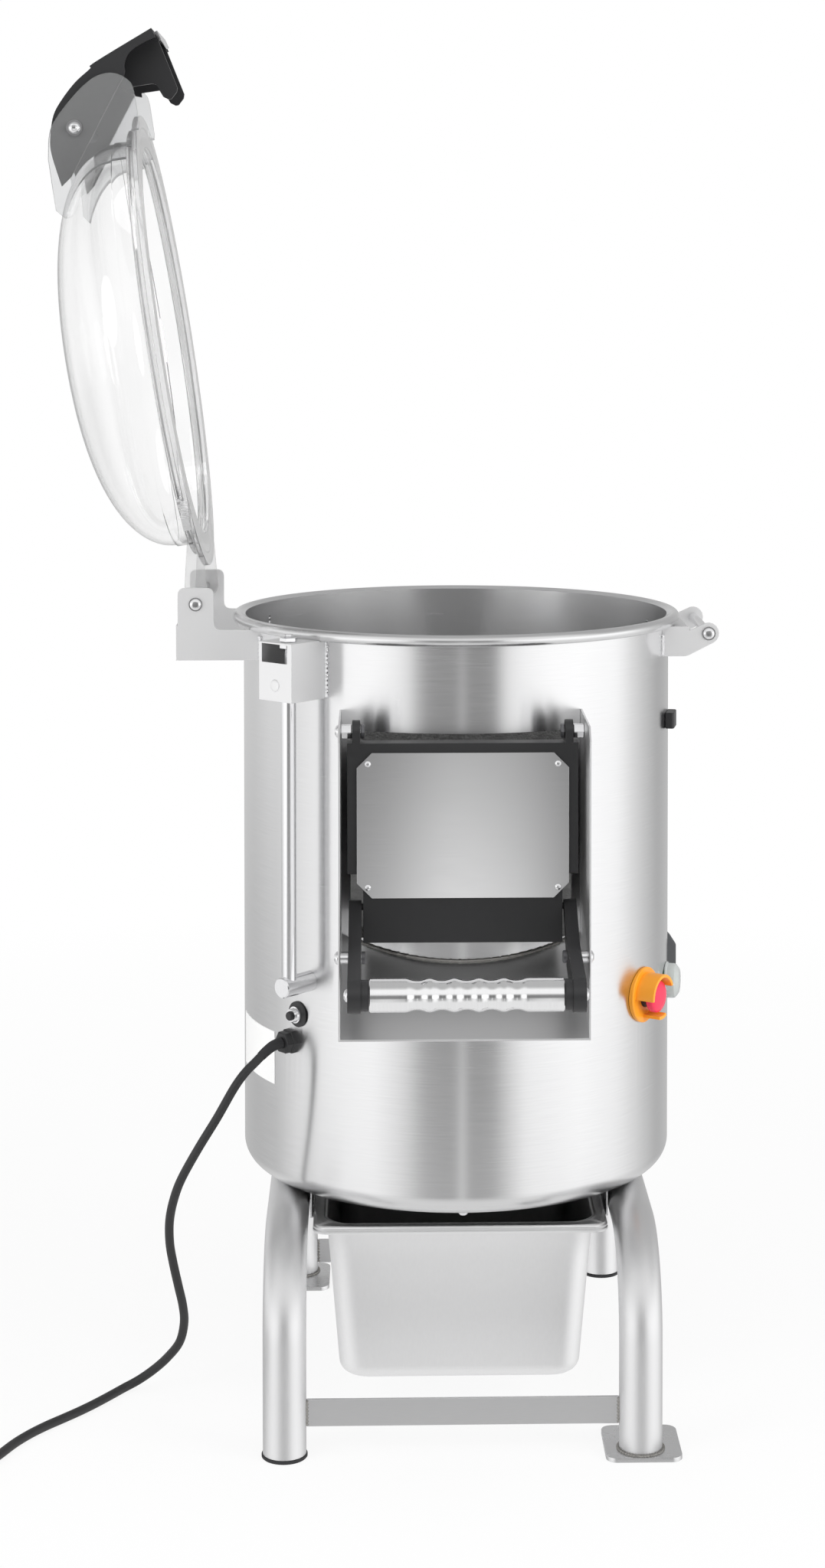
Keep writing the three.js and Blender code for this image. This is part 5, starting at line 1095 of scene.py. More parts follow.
class PEELER_OT_stand(bpy.types.Operator):
    """Build the two tubes, their plates, welds, rubber feet and crossbars"""

    bl_idname = "peeler.stand"
    bl_label = "Stand"

    def execute(self, context):
        for side, plate, name in ((-1, 1, "left"), (1, -1, "right")):
            self.tube(side, plate, name)
            self.foot(side, -plate, name)
        for node, name, finish, bevel in (
            ("front_crossbar", "crossbar_front", "bar", 0.6),
            ("back_crossbar", "crossbar_back", "bar", 0.6),
            ("pan_rail_left", "rail_left", "sheet", 0.35),
            ("pan_rail_right", "rail_right", "sheet", 0.35),
        ):
            remade(node, name, "base", finish, bevel)
        self.bar_welds()
        return {"FINISHED"}

    def tube(self, side, plate, name):
        """One hollow tube, its foot plate and the weld round it."""
        x = side * LEG_X
        front = END_ON_PLATE if plate < 0 else END_ON_FOOT
        back = END_ON_PLATE if plate > 0 else END_ON_FOOT
        path = leg_path(x, front, back)
        whole = sweep(path, LEG_RADIUS, LEG_SIDES, False)
        inner = sweep(path, LEG_RADIUS - LEG_WALL, LEG_SIDES, False)
        count = len(whole.verts)
        whole.add(inner.verts, [tuple(reversed(face)) for face in inner.faces])
        for base in (0, count - LEG_SIDES):
            for step in range(LEG_SIDES):
                after = base + (step + 1) % LEG_SIDES
                whole.faces.append((base + step, after, count + after, count + base + step))
        self.plate(side, plate, name)
        dress(mesh_object("leg_tube_" + name, whole), "base", "tube", nodes=("stand_tube_" + name,))
        points = arc(x, plate * LEG_Y, LEG_RADIUS + 0.9, 0, 360, 144)
        weld = bead([(*point, PLATE_THICK + 0.4) for point in points], 1.3, 10, *PLATE_RIPPLE)
        dress(mesh_object("plate_weld_" + name, weld), "base", "weld")

    def plate(self, side, plate, name):
        """The drilled plate that one end of a tube stands on."""
        outline = rounded([
            (-31.5, PLATE_INNER, PLATE_CORNER), (35.2, PLATE_INNER, PLATE_CORNER),
            (35.2, PLATE_OUTER, PLATE_CORNER), (-31.5, PLATE_OUTER, PLATE_CORNER),
        ], PLATE_STEPS)
        made = prism(outline, 0, PLATE_THICK, "Z").sided(-plate, 1).sided(side, 0)
        foot = mesh_object("foot_plate_" + name, made.shift(side * LEG_X, plate * LEG_Y, 0))
        hole_y = plate * (LEG_Y - (LEG_RADIUS + PLATE_OUTER) / 2)
        cut(foot, rod(5.5, -5, 9, 32).shift(side * LEG_X, hole_y, 0))
        dress(foot, "base", "sheet", 0.4)

    def bar_welds(self):
        """Short beads where the crossbars meet the tubes."""
        for end, low, place in ((-1, 27, "front"), (1, 13.5, "back")):
            for side, name in SIDES:
                x = side * (LEG_X - LEG_RADIUS - 0.1)
                weld = bead([(x, end * LEG_Y, low + step) for step in range(23)], 2.3, 12, *BAR_RIPPLE)
                dress(mesh_object("bar_weld_%s_%s" % (place, name), weld), "base", "weld")

    def foot(self, side, end, name):
        """A ribbed rubber plug in the open end of a tube."""
        plug = LEG_RADIUS - LEG_WALL - 1.4
        profile = [(0, 0), (19.4, 0), (20.1, 0.7), (20.1, 2.5), (19.6, 3), (plug, 3)]
        for rib in range(3):
            z = 4.5 + rib * 3.6
            profile += [(plug, z), (plug + 1.1, z + 0.6), (plug, z + 1.8)]
        profile += [(plug - 0.6, 16), (0, 16)]
        node = "rubber_foot_front_left" if end < 0 else "rubber_foot_back_right"
        made = lathe(profile, LEG_SIDES).shift(side * LEG_X, end * LEG_Y, 0)
        dress(mesh_object("tube_foot_" + name, made), "base", "rubber", nodes=(node,))


# Pan

PAN_RIM = 180
PAN_DEPTH = 149
PAN_HALF = 132.5
PAN_LONGER = 30
PAN_TAPER = 11
PAN_FLANGE = 12
PAN_SHEET = 1.2
PAN_CORNER = 24
PAN_RIM_CORNER = 13
PAN_FILLET = 14
PAN_ROLL = 7

# The rolled rim's section, from under it outwards and back: (inset, depth under the top)
RIM_SECTION = (
    (3.4, 1.2), (1.8, 2.2), (1.2, 7), (0.3, 7), (0, 6.6), (0, 4.9), (0.5, 4.4), (0.9, 4.1), (0.9, 3.7),
    (0.3, 3.3), (0.2, 2.6), (0.4, 1.6), (1.2, 0.6), (2.6, 0),
)


class PEELER_OT_pan(bpy.types.Operator):
    """Press the peel pan"""

    bl_idname = "peeler.pan"
    bl_label = "Pan"

    def execute(self, context):
        body = PAN_HALF - PAN_FLANGE
        floor = body - PAN_TAPER
        low = PAN_RIM - PAN_DEPTH
        rings = []

        def ring(radius_x, corner, z):
            rings.append(self.ring(radius_x, radius_x + PAN_LONGER, corner, z))

        def bowl(inset, floor_z, order):
            angles = [math.radians(15 * k) for k in range(7)][::order]
            for t in angles:
                inward = PAN_FILLET * (1 - math.sin(t))
                rise = PAN_FILLET * (1 - math.cos(t))
                ring(floor - inset - inward, max(PAN_CORNER - inset - inward * 0.6, 6), floor_z + rise)

        def wall(inset, corner, shares):
            for share in shares:
                ring(floor - inset + PAN_TAPER * share, corner,
                     low + PAN_FILLET + (PAN_DEPTH - PAN_FILLET) * share)

        bowl(0, low, 1)
        wall(0, PAN_CORNER, (0.25, 0.5, 0.75))
        ring(body, PAN_CORNER, PAN_RIM - 4.2)
        ring(body + 1.2, PAN_CORNER + 1, PAN_RIM - 2.1)
        ring(body + 3.5, PAN_CORNER - 2, PAN_RIM - 1.2)
        for inset, down in RIM_SECTION:
            ring(PAN_HALF - inset, PAN_RIM_CORNER - inset, PAN_RIM - down)
        ring(body + 2.4, PAN_CORNER - 1, PAN_RIM)
        ring(body + 0.2, PAN_CORNER + 1, PAN_RIM - 1)
        ring(body - 1.2, PAN_CORNER, PAN_RIM - 3.6)
        wall(PAN_SHEET, PAN_CORNER - 1, (0.75, 0.5, 0.25))
        bowl(PAN_SHEET, low + PAN_SHEET, -1)
        count = len(rings[0])
        faces = grid_faces(len(rings), count)
        faces.append(tuple(range(count - 1, -1, -1)))
        faces.append(tuple(range((len(rings) - 1) * count, len(rings) * count)))
        made = mesh_object("pan_body", Solid().add([p for r in rings for p in r], faces))
        dress(made, "pan", "pan", angle=40, nodes=("peel_pan",))
        made.data.materials.append(FINISH["chute"])
        made.data.materials.append(FINISH["hollow"])
        rim_low = PAN_RIM - PAN_ROLL - 0.5
        inside_top = PAN_RIM - 10
        for face in made.data.polygons:
            middle = face.center
            aside = abs(middle.x - AXIS_X) / MM
            along = abs(middle.y - AXIS_Y) / MM
            inward = face.normal.x * (middle.x - AXIS_X) + face.normal.y * (middle.y - AXIS_Y) < 0
            upper = middle.z > (low + 2) * MM
            if middle.z > rim_low * MM and max(aside, along - PAN_LONGER) > body + 2:
                face.material_index = 1
            # Inward walls and the floor of the hollow take the darkened steel: painted shade inside the
            # pan
            elif (inward and upper) or (face.normal.z > 0.9 and middle.z < inside_top * MM):
                face.material_index = 2
        return {"FINISHED"}

    def ring(self, half_x, half_y, corner, z):
        """A rounded rectangle."""
        cx, cy = half_x - corner, half_y - corner
        line = arc(cx, cy, corner, 0, 90, 10) + arc(-cx, cy, corner, 90, 180, 10)
        line += arc(-cx, -cy, corner, 180, 270, 10) + arc(cx, -cy, corner, 270, 360, 10)
        return [(x, y, z) for x, y in line]


# Chamber and drive

class PEELER_OT_chamber(bpy.types.Operator):
    """Finish the chamber's floor, liner and turntable, and the drive under it"""

    bl_idname = "peeler.chamber"
    bl_label = "Chamber"

    def execute(self, context):
        for node, name, body, finish, bevel, slot in (
            # The chamber floor takes the drum's lightened inside steel: painted light
            ("chamber_floor", "floor_plate", "base", "inside", 0.3, "satin_steel"),
            ("abrasive_liner", "liner_sleeve", "base", "grit", 0, "abrasive"),
            ("bearing_housing", "bearing_casting", "base", "iron", 0.8, "dark_metal"),
            ("motor", "motor_casing", "base", "iron", 0.8, "dark_metal"),
            ("drive_belt", "belt_loop", "base", "rubber", 0.3, "black_rubber"),
            ("contactor_box", "relay_box", "base", "grey", 1.0, "grey_plastic"),
            ("main_shaft", "shaft_and_pulley", "turntable", "iron", 0.4, "dark_metal"),
            ("motor_pulley", "motor_wheel", "motor_rotor", "iron", 0.4, "dark_metal"),
        ):
            remade(node, name, body, finish, bevel)
        self.turntable()
        return {"FINISHED"}

    def turntable(self):
        """The abrasive disc with its three humps, its knob and its sweepers."""
        sides = 144
        low, edge, crown, hump = 430, 7, 6, 16
        top = low + edge + crown
        rings = []

        def loop(radius, height):
            rings.append([(radius * math.cos(a), radius * math.sin(a), height(a))
                          for a in (2 * math.pi * k / sides for k in range(sides))])

        def wave(share):
            return lambda a: top - crown * share + hump * max(math.cos(3 * a), 0) ** 2 * share

        loop(24, lambda a: low)
        loop(184, lambda a: low)
        loop(185, lambda a: low + 1)
        loop(185, lambda a: low + edge - 1.5)
        loop(184, lambda a: low + edge - 0.2)
        for radius, share in ((180, 0.55), (174, 0.8), (155, 0.93), (133, 1), (105, 0.82), (78, 0.6),
                              (52, 0.3), (34, 0.1)):
            loop(radius, wave(share))
        loop(24, lambda a: top)
        whole = Solid().add([p for r in rings for p in r], grid_faces(len(rings), sides, True))
        disc = mesh_object("turntable_disc", whole)
        knob = lathe([
            (0, low + 0.01), (24, low + 0.01), (24, top + 5), (22, top + 9), (16, top + 13),
            (8, top + 14.8), (0, top + 15),
        ], 72)
        blades = Solid()
        for side in (-1, 1):
            ends = sorted((side * 30, side * 183))
            blades.join(block((ends[0], -2.5, low - 7), (ends[1], 2.5, low + 2)))
        dress(disc, "turntable", "grit", nodes=("turntable",))
        dress(mesh_object("turntable_knob", knob), "turntable", "grit")
        dress(mesh_object("turntable_sweepers", blades), "turntable", "iron", 0.5)


# Discharge

class PEELER_OT_chute(bpy.types.Operator):
    """Fold the chute and bolt on its pivots"""

    bl_idname = "peeler.chute"
    bl_label = "Chute"

    def execute(self, context):
        bevel = context.scene.peeler_sizes.edge_bevel
        remade("discharge_chute", "chute_sheet", "base", "chute", bevel)
        self.floor_weld()
        for side, name in SIDES:
            self.door_pivot(side, name)
            self.lever_pivot(side, name)
        return {"FINISHED"}

    def floor_weld(self):
        """The rough bead where the sloping floor meets the round wall."""
        points, radii = [], []
        for step, x in enumerate(range(-CHUTE_WELD_HALF, CHUTE_WELD_HALF + 1, 2)):
            y = -math.sqrt((DRUM_RADIUS + 0.4) ** 2 - x * x)
            points.append((x, y, CHUTE_WELD_Z + (y + DRUM_RADIUS) * CHUTE_SLOPE))
            radii.append(1.5 + 0.5 * math.sin(step * 2.3) * math.sin(step * 0.7))
        made = mesh_object("floor_weld", sweep(points, radii, 10))
        dress(made, "base", "weld")

    def door_pivot(self, side, name):
        """A cap screw, its hexagonal spacer and its nut."""
        whole = socket_head(CHUTE_FACE, HEAD_RADIUS, HEAD_HEIGHT)
        whole.join(rod(3, 86, CHUTE_FACE, 24, lathe_x))
        whole.join(hex_bar(hexagon(NUT_ACROSS), 96.3, 105.7))
        whole.shift(0, *DOOR_PIVOT).sided(side, 0)
        nut = hex_bar(hexagon(NUT_ACROSS), 85.4, 88.7).shift(0, *DOOR_PIVOT).sided(side, 0)
        dress(mesh_object("door_bolt_" + name, whole), "base", "polished", 0.35,
              nodes=("door_pivot_" + name,))
        dress(mesh_object("door_nut_" + name, nut), "base", "iron")

    def lever_pivot(self, side, name):
        """The shoulder bolt that carries one lever arm."""
        whole = socket_head(CHUTE_FACE, HEAD_RADIUS, HEAD_HEIGHT)
        whole.join(rod(4, 87.7, CHUTE_FACE, 24, lathe_x)).shift(0, *LEVER_PIVOT).sided(side, 0)
        end = lathe_x([(0, 84.4), (4.8, 84.4), (5.4, 85), (5.4, 87.7), (0, 87.7)], 32)
        end.shift(0, *LEVER_PIVOT).sided(side, 0)
        dress(mesh_object("lever_bolt_" + name, whole), "base", "polished",
              nodes=("lever_pivot_" + name,))
        dress(mesh_object("lever_nut_" + name, end), "base", "iron")


def hex_bar(radius, low, high):
    """A hexagonal bar along X with chamfered ends."""
    return lathe_x([
        (0, low), (radius * CHAMFER, low), (radius, low + 0.5), (radius, high - 0.5),
        (radius * CHAMFER, high), (0, high),
    ], 6)


def socket_head(at, radius, height):
    """A button head along X with a round socket."""
    profile = [(0, at), (radius, at), (radius, at + 0.5)]
    profile += [(radius * math.cos(t), at + 0.5 + (height - 0.5) * math.sin(t))
                for t in [math.radians(a) for a in (18, 36, 50)]]
    profile += [(radius * 0.42, at + height), (radius * 0.4, at + height * 0.45), (0, at + height * 0.4)]
    return lathe_x(profile, 36)


class PEELER_OT_door(bpy.types.Operator):
    """Mould the door and screw on its steel plate"""

    bl_idname = "peeler.door"
    bl_label = "Door"

    def execute(self, context):
        bevel = context.scene.peeler_sizes.moulded_bevel
        remade("door_panel", "door_moulding", "door", "black", bevel, 3)
        self.plate()
        return {"FINISHED"}

    def plate(self):
        """The steel plate and its four screws."""
        half, low, high, corner = 92, 489.2, 615.8, 13
        inset = 9.5
        outline = [
            (-half + corner, low), (half - corner, low), (half, low + corner), (half, high - corner),
            (half - corner, high), (-half + corner, high), (-half, high - corner), (-half, low + corner),
        ]
        sheet = mesh_object("door_sheet", prism(outline, -226.5, -225.3, "Y"))
        dress(sheet, "door", "plate", 0.25, nodes=("door_plate",))
        heads = Solid()
        for side in (-1, 1):
            for z in (low + inset, high - inset):
                head = socket_head(0, 2.8, 1.5).moved(Matrix.Rotation(math.radians(-90), 4, "Z"))
                heads.join(head.shift(side * (half - inset), -226.45, z))
        dress(mesh_object("plate_screws", heads), "door", "polished")


class PEELER_OT_lever(bpy.types.Operator):
    """Mould the lever arms and turn the ribbed grip"""

    bl_idname = "peeler.lever"
    bl_label = "Door Lever"

    def execute(self, context):
        for side, name in SIDES:
            self.arm(side, name)
        self.grip()
        return {"FINISHED"}

    def arm(self, side, name):
        """One arm with its pin, its collar on the grip and its spacer at the pivot."""
        pivot = (*LEVER_PIVOT, 11)
        outline_tip = link_outline(pivot, (*LEVER_TIP, 6))
        outline_tail = link_outline(pivot, (*GRIP_AT, 14.6))
        made = mesh_object("lever_arm_" + name, prism(outline_tail, ARM_INNER, ARM_OUTER, "X"))
        cut(made, prism(outline_tip, ARM_INNER, ARM_OUTER, "X"), operation="UNION")
        bore = rod(PIVOT_BORE, 80, 110, 32, lathe_x).shift(0, *LEVER_PIVOT)
        relief = prism(link_outline((-279, 441.6, 3.6), (-313, 435.2, 5.2), 12), 97.8, 101, "X")
        cut(made, bore, relief)
        if side < 0:
            mirror_object(made)
        dress(made, "door_lever", "black", 1.3, 3, nodes=("door_arm_" + name,))
        extra = rod(3, 81, 90, 24, lathe_x).shift(0, *LEVER_TIP)
        collar = lathe_x([(0, 81.3), (12.4, 81.3), (12.9, 82), (12.9, 90), (0, 90)], 48)
        extra.join(collar.shift(0, *GRIP_AT)).sided(side, 0)
        dress(mesh_object("arm_collar_" + name, extra), "door_lever", "black")
        bolt = socket_head(98.9, HEAD_RADIUS, HEAD_HEIGHT).shift(0, *GRIP_AT)
        spacer = lathe_x([(4.2, 98.9), (5.2, 98.9), (5.2, 105.6), (4.2, 105.6)], 36)
        bolt.join(spacer.shift(0, *LEVER_PIVOT)).sided(side, 0)
        dress(mesh_object("arm_bolt_" + name, bolt), "door_lever", "polished")

    def grip(self):
        """The bright grip, waisted between ridges."""
        half, radius, waist, pitch, waists = 81, 14, 2.0, 20.5, 5
        wavy = waists * pitch / 2
        profile = [(0, -half), (radius - 0.8, -half), (radius, -half + 0.8)]
        steps = 90
        for step in range(steps + 1):
            x = -wavy + 2 * wavy * step / steps
            hollow = 1 - abs(math.sin(math.pi * x / pitch)) ** 2.6
            profile.append((radius - waist * hollow, x))
        profile += [(radius, half - 0.8), (radius - 0.8, half), (0, half)]
        made = mesh_object("grip_bar", lathe_x(profile, 64).shift(0, *GRIP_AT))
        dress(made, "door_lever", "grip", nodes=("lever_grip",))


def mirror_object(made):
    """Mirrors a made piece across the machine's middle plane."""
    change = TO_ROW @ Matrix.Diagonal((-1, 1, 1, 1)) @ TO_ROW.inverted()
    made.data.transform(change)
    made.data.flip_normals()


# Lid

def dome_curve(more):
    """The dome's curve, so much outside its outer face, from its skirt to its top."""
    radius, rise = DOME_RADIUS + more, DOME_RISE + more
    points = []
    for step in range(DOME_STEPS):
        angle = math.radians(90) * (1 - step / DOME_STEPS)
        points.append((radius * math.sin(angle) ** (2 / DOME_POWER), SKIRT_Z + rise * math.cos(angle)))
    return points + [(0, SKIRT_Z + rise)]


# The latch's outlines, as shares of their reach from the latch's bolt, and the lever's tip
EAR_SHARES = [
    (-1.79, 0.36), (-1.6, 0.485), (-0.55, 0.48), (-0.04, 0.4), (0.26, 0.25), (0.6, -0.02),
    (0.825, -0.24), (0.97, -0.45), (1, -0.663), (0.913, -0.842), (0.738, -0.97), (0.536, -1),
    (-0.1, -1), (-1.79, -0.8),
]
LEVER_SHARES = [
    (-0.634, 0.244), (-0.54, 0.122), (0.402, -0.543), (0.534, -0.634), (0.641, -0.646),
    (0.754, -0.713), (0.829, -0.841), (0.892, -1.03), (1, -1), (0.707, -0.32),
    (0.646, -0.265), (0.513, -0.073), (0.323, 0.116), (0.167, 0.222), (-0.057, 0.285),
    (-0.259, 0.3),
]
LATCH_TIP = LEVER_SHARES.index((1, -1))
HOOK_SHARES = [
    (0.402, -0.543), (0.62, -0.31), (0.69, -0.35), (0.97, -1), (0.892, -1.03),
    (0.32, -1.16), (0.27, -1.145), (0.2, -1.075), (0.2, -1.04), (0.24, -0.985),
]


def latch_points(shares, reach):
    """Shares of a reach from the latch's bolt, in millimetres."""
    return [(LATCH_X + x * reach[0], LATCH_Z + z * reach[1]) for x, z in shares]


class PEELER_OT_lid(bpy.types.Operator):
    """Mould the clear dome, its ring and its ears"""

    bl_idname = "peeler.lid"
    bl_label = "Lid"

    def execute(self, context):
        self.ring()
        self.dome()
        self.ears()
        self.magnet()
        self.hinge_pin()
        return {"FINISHED"}

    def ring(self):
        """The flange with its upstand and its hinge lugs."""
        z = LID_Z
        profile = [
            (183.4, z), (LID_RADIUS - 0.6, z), (LID_RADIUS, z + 0.6), (LID_RADIUS, z + 4.4),
            (LID_RADIUS - 0.6, z + 5), (202, z + 5), (UPSTAND_RADIUS, z + 6), (UPSTAND_RADIUS, z + 11.4),
            (200.4, z + 12), (194.1, z + 12), (193.5, z + 11.4), (193.5, z + 6), (183.4, z + 6),
            (183, z + 5.6), (183, z + 0.4),
        ]
        made = mesh_object("lid_flange", lathe(profile, ROUND_SIDES))
        outline = arc(HINGE_X, HINGE_Z, 11, 90, 270, 20)
        outline += [(-202.3, z + 0.5), (-181, z + 0.5), (-181, z + 12.6), (-201, z + 17)]
        for side in (1, -1):
            cut(made, prism(outline, *LUG_FACES, "Y").sided(side, 1), operation="UNION")
        cut(made, rod(PIN_BORE, -90, 90, 24, lathe_y).shift(HINGE_X, 0, HINGE_Z))
        swing_open(made)
        dress(made, "lid", "frosted", nodes=("lid_ring",), angle=30)

    def dome(self):
        """The blown dome on its seat, with a thicker skirt."""
        foot = LID_Z + 6.3
        profile = dome_curve(0)[::-1]
        profile += [
            (DOME_RADIUS, SKIRT_Z - 0.3), (SKIRT_RADIUS, SKIRT_Z - 1.2), (SKIRT_RADIUS, foot + 4),
            (191.5, foot + 3), (193.2, foot + 3), (193.2, foot), (184, foot), (184, foot + 3),
            (DOME_RADIUS - DOME_WALL, foot + 4.5),
        ]
        profile += dome_curve(-DOME_WALL)
        made = mesh_object("lid_shell", lathe(profile, ROUND_SIDES, closed=False))
        swing_open(made)
        dress(made, "lid", "clear", nodes=("lid_dome",), angle=30)

    def ears(self):
        """The two clear ears that carry the latch lever."""
        for side, name in LATCH_SIDES:
            made = mesh_object("ear_plate_" + name, self.ear_solid(side))
            cut(made, self.envelope())
            swing_open(made)
            dress(made, "lid", "ear", 0.3, nodes=("latch_ear_" + name,),
                  angle=30)
            self.bolt(side, name)

    def ear_solid(self, side):
        """An ear's plate before it is cut to the dome."""
        points = latch_points(EAR_SHARES, EAR_REACH)
        outline = smooth_line(points, 5, True, keep=(0, 1, 2, 11, 12, 13))
        return prism(outline, *EAR_FACES, "Y").sided(side, 1)

    def envelope(self):
        """What the ears are cut back from: the lid's outside, filled."""
        gap = 0.2
        flange, upstand, skirt = LID_RADIUS + gap, UPSTAND_RADIUS + gap, SKIRT_RADIUS + gap
        profile = [
            (0, 690), (flange, 690), (flange, LID_Z + 5 + gap), (upstand, LID_Z + 5 + gap),
            (upstand, LID_Z + 12 + gap), (skirt, LID_Z + 12 + gap), (skirt, SKIRT_Z - 0.5),
        ]
        return lathe(profile + dome_curve(gap), ROUND_SIDES, closed=False)

    def bolt(self, side, name):
        """A button-head bolt with a washer and an inner nut."""
        start = 88.3
        whole = rod(7, start, start + 1.2, 36)
        head = [
            (0, start + 1.2), (HEAD_RADIUS, start + 1.2), (HEAD_RADIUS, start + 1.8), (5, start + 3),
            (4, start + 4), (2.4, start + 4.5), (2.2, start + 2.8), (0, start + 2.7),
        ]
        whole.join(lathe(head, 36))
        whole.join(rod(3, 76, start, 24))
        whole.join(rod(NUT_ACROSS / 2, 74.9, 78.2, 6))
        whole.moved(Matrix.Rotation(math.radians(-90), 4, "X")).sided(side, 1)
        whole.shift(LATCH_X, 0, LATCH_Z)
        made = mesh_object("ear_bolt_" + name, whole)
        swing_open(made)
        dress(made, "lid", "polished", 0.2, nodes=("latch_bolt_" + name,))

    def magnet(self):
        """The magnet on its strip, over the lid switch."""
        remade("lid_magnet", "magnet_strip", "lid", "sheet", 0.3)

    def hinge_pin(self):
        """The hinge's rod, with a washer and a button head at each end."""
        whole = cross_pin(3, 85.8, 3)
        dress(mesh_object("hinge_rod", whole.shift(HINGE_X, 0, HINGE_Z)), "base", "polished",
              nodes=("lid_hinge_pin",))


def swing_open(made):
    """Turns a piece that was made on the closed lid to the open lid."""
    change = TO_ROW @ lid_place() @ TO_ROW.inverted()
    made.data.transform(change)


def cross_pin(radius, half, shank):
    """A rod along Y, thicker in the middle, with heads and washers outside."""
    ends = [(shank, half), (6.2, half), (6.2, half + 1.2), (5.2, half + 1.2), (5.2, half + 2.2),
            (4.6, half + 3.7), (2.8, half + 4.5), (2.4, half + 4.5), (2.3, half + 3), (0, half + 2.9)]
    middle = [(shank, CATCH_THICK_HALF), (radius, CATCH_THICK_HALF)] if radius > shank else []
    side = middle[::-1] + ends
    profile = [(r, -y) for r, y in reversed(side)] + side
    return lathe_y(profile, 36)


class PEELER_OT_latch(bpy.types.Operator):
    """Mould the black latch lever with its hooks"""

    bl_idname = "peeler.latch"
    bl_label = "Latch Lever"

    def execute(self, context):
        points = latch_points(LEVER_SHARES, LATCH_REACH)
        outline = smooth_line(points, 5, True, keep=(0, 1, 2, 7, 8))
        bore = rod(PIN_BORE, -90, 90, 24, lathe_y).shift(LATCH_X, 0, LATCH_Z)
        for side, name in LATCH_SIDES:
            flange = prism(outline, *FLANGE_FACES, "Y").sided(side, 1)
            made = mesh_object("latch_side_" + name, flange)
            cut(made, bore)
            swing_open(made)
            nodes = ("latch_lever",) if side < 0 else ()
            dress(made, "latch", "satin_black", 1.0, 3, nodes=nodes)
        made = mesh_object("latch_web", self.web(smooth_line(points[LATCH_TIP:LATCH_TIP + 6], 6), 4))
        swing_open(made)
        dress(made, "latch", "satin_black", 0.8, 3)
        self.hooks()
        self.strip(points)
        return {"FINISHED"}

    def web(self, line, thickness):
        """The wide front web, inside the lever's outer edge."""
        outer = [Vector(p) for p in line]
        inner = []
        for at, point in enumerate(outer):
            along = (outer[min(at + 1, len(outer) - 1)] - outer[max(at - 1, 0)]).normalized()
            inner.append(point + Vector((-along.y, along.x)) * thickness)
        outline = [tuple(p) for p in outer + inner[::-1]]
        return prism(outline, -78.6, 78.6, "Y")

    def hooks(self):
        """The two inner hooks that catch the pin."""
        points = latch_points(HOOK_SHARES, LATCH_REACH)
        throat = HOOK_THROAT
        reach = 4 * throat
        for side, name in LATCH_SIDES:
            made = mesh_object("latch_hook_" + name, prism(points, *HOOK_FACES, "Y").sided(side, 1))
            mouth = rod(throat, 30, 60, 32, lathe_y).shift(CATCH_X, 0, CATCH_Z)
            slope = prism([
                (CATCH_X, CATCH_Z - throat), (CATCH_X, CATCH_Z + reach),
                (CATCH_X - reach, CATCH_Z + reach), (CATCH_X - reach, CATCH_Z - throat - reach * 0.4),
            ], 30, 60, "Y")
            above = block((CATCH_X - reach, 30, CATCH_Z), (CATCH_X + throat, 60, CATCH_Z + 3 * throat))
            cut(made, *[tool.sided(side, 1) for tool in (mouth, slope, above)])
            swing_open(made)
            dress(made, "latch", "satin_black", 0.6, 2)

    def strip(self, points):
        """The bright strip on the lever's end."""
        inner, tip, outer = [Vector(p) for p in points[LATCH_TIP - 1:LATCH_TIP + 2]]
        along = (inner - tip).normalized()
        out = Vector((-along.y, along.x))
        if out.dot(outer - tip) > 0:
            out = -out
        corners = [tuple(tip + out * a + along * b)
                   for a, b in ((0.2, 0.4), (2.8, 0.4), (2.8, 9.6), (0.2, 9.6))]
        made = mesh_object("latch_strip", prism(corners, -48, 48, "Y"))
        swing_open(made)
        dress(made, "latch", "polished", 0.3)


class PEELER_OT_brackets(bpy.types.Operator):
    """Finish the hinge bracket and the latch bracket on the drum"""

    bl_idname = "peeler.brackets"
    bl_label = "Brackets"

    def execute(self, context):
        bevel = context.scene.peeler_sizes.edge_bevel
        remade("lid_hinge_bracket", "hinge_plates", "base", "bracket", bevel)
        remade("latch_bracket", "catch_plates", "base", "bracket", bevel)
        whole = cross_pin(4.3, 66.8, 3)
        dress(mesh_object("catch_rod", whole.shift(CATCH_X, 0, CATCH_Z)), "base", "polished",
              nodes=("catch_pin",))
        self.washers()
        opposite = Matrix.Rotation(math.pi, 4, "Z")
        for side, name in RIM_SIDES:
            wall_weld("hinge_weld_" + name, opposite, -side * 86, 680, 700)
            wall_weld("catch_weld_" + name, Matrix(), side * 67, 679, 698)
        return {"FINISHED"}

    def washers(self):
        """Toothed washers under the catch rod's heads."""
        teeth = 14
        outline = []
        for tooth in range(teeth):
            start = tooth * 360 / teeth
            outline += arc(CATCH_X, CATCH_Z, 6.3, start, start + 12, 2)
            outline += arc(CATCH_X, CATCH_Z, 5.5, start + 15, start + 23, 2)
        for side, name in RIM_SIDES:
            ends = sorted((side * 66.9, side * 67.9))
            made = mesh_object("catch_washer_" + name, prism(outline, *ends, "Y"))
            dress(made, "base", "polished")


def wall_weld(name, place, aside, low, high):
    """A rippled bead in the corner between a plate and the drum."""
    out = math.sqrt(DRUM_RADIUS ** 2 - aside ** 2) + 0.3
    points = [(out, aside, z) for z in range(low, high + 1)]
    weld = bead(points, 2.3, 12, *WALL_RIPPLE).moved(place)
    dress(mesh_object(name, weld), "base", "polished")


# Switch

SWITCH_AZIMUTH = -42.5


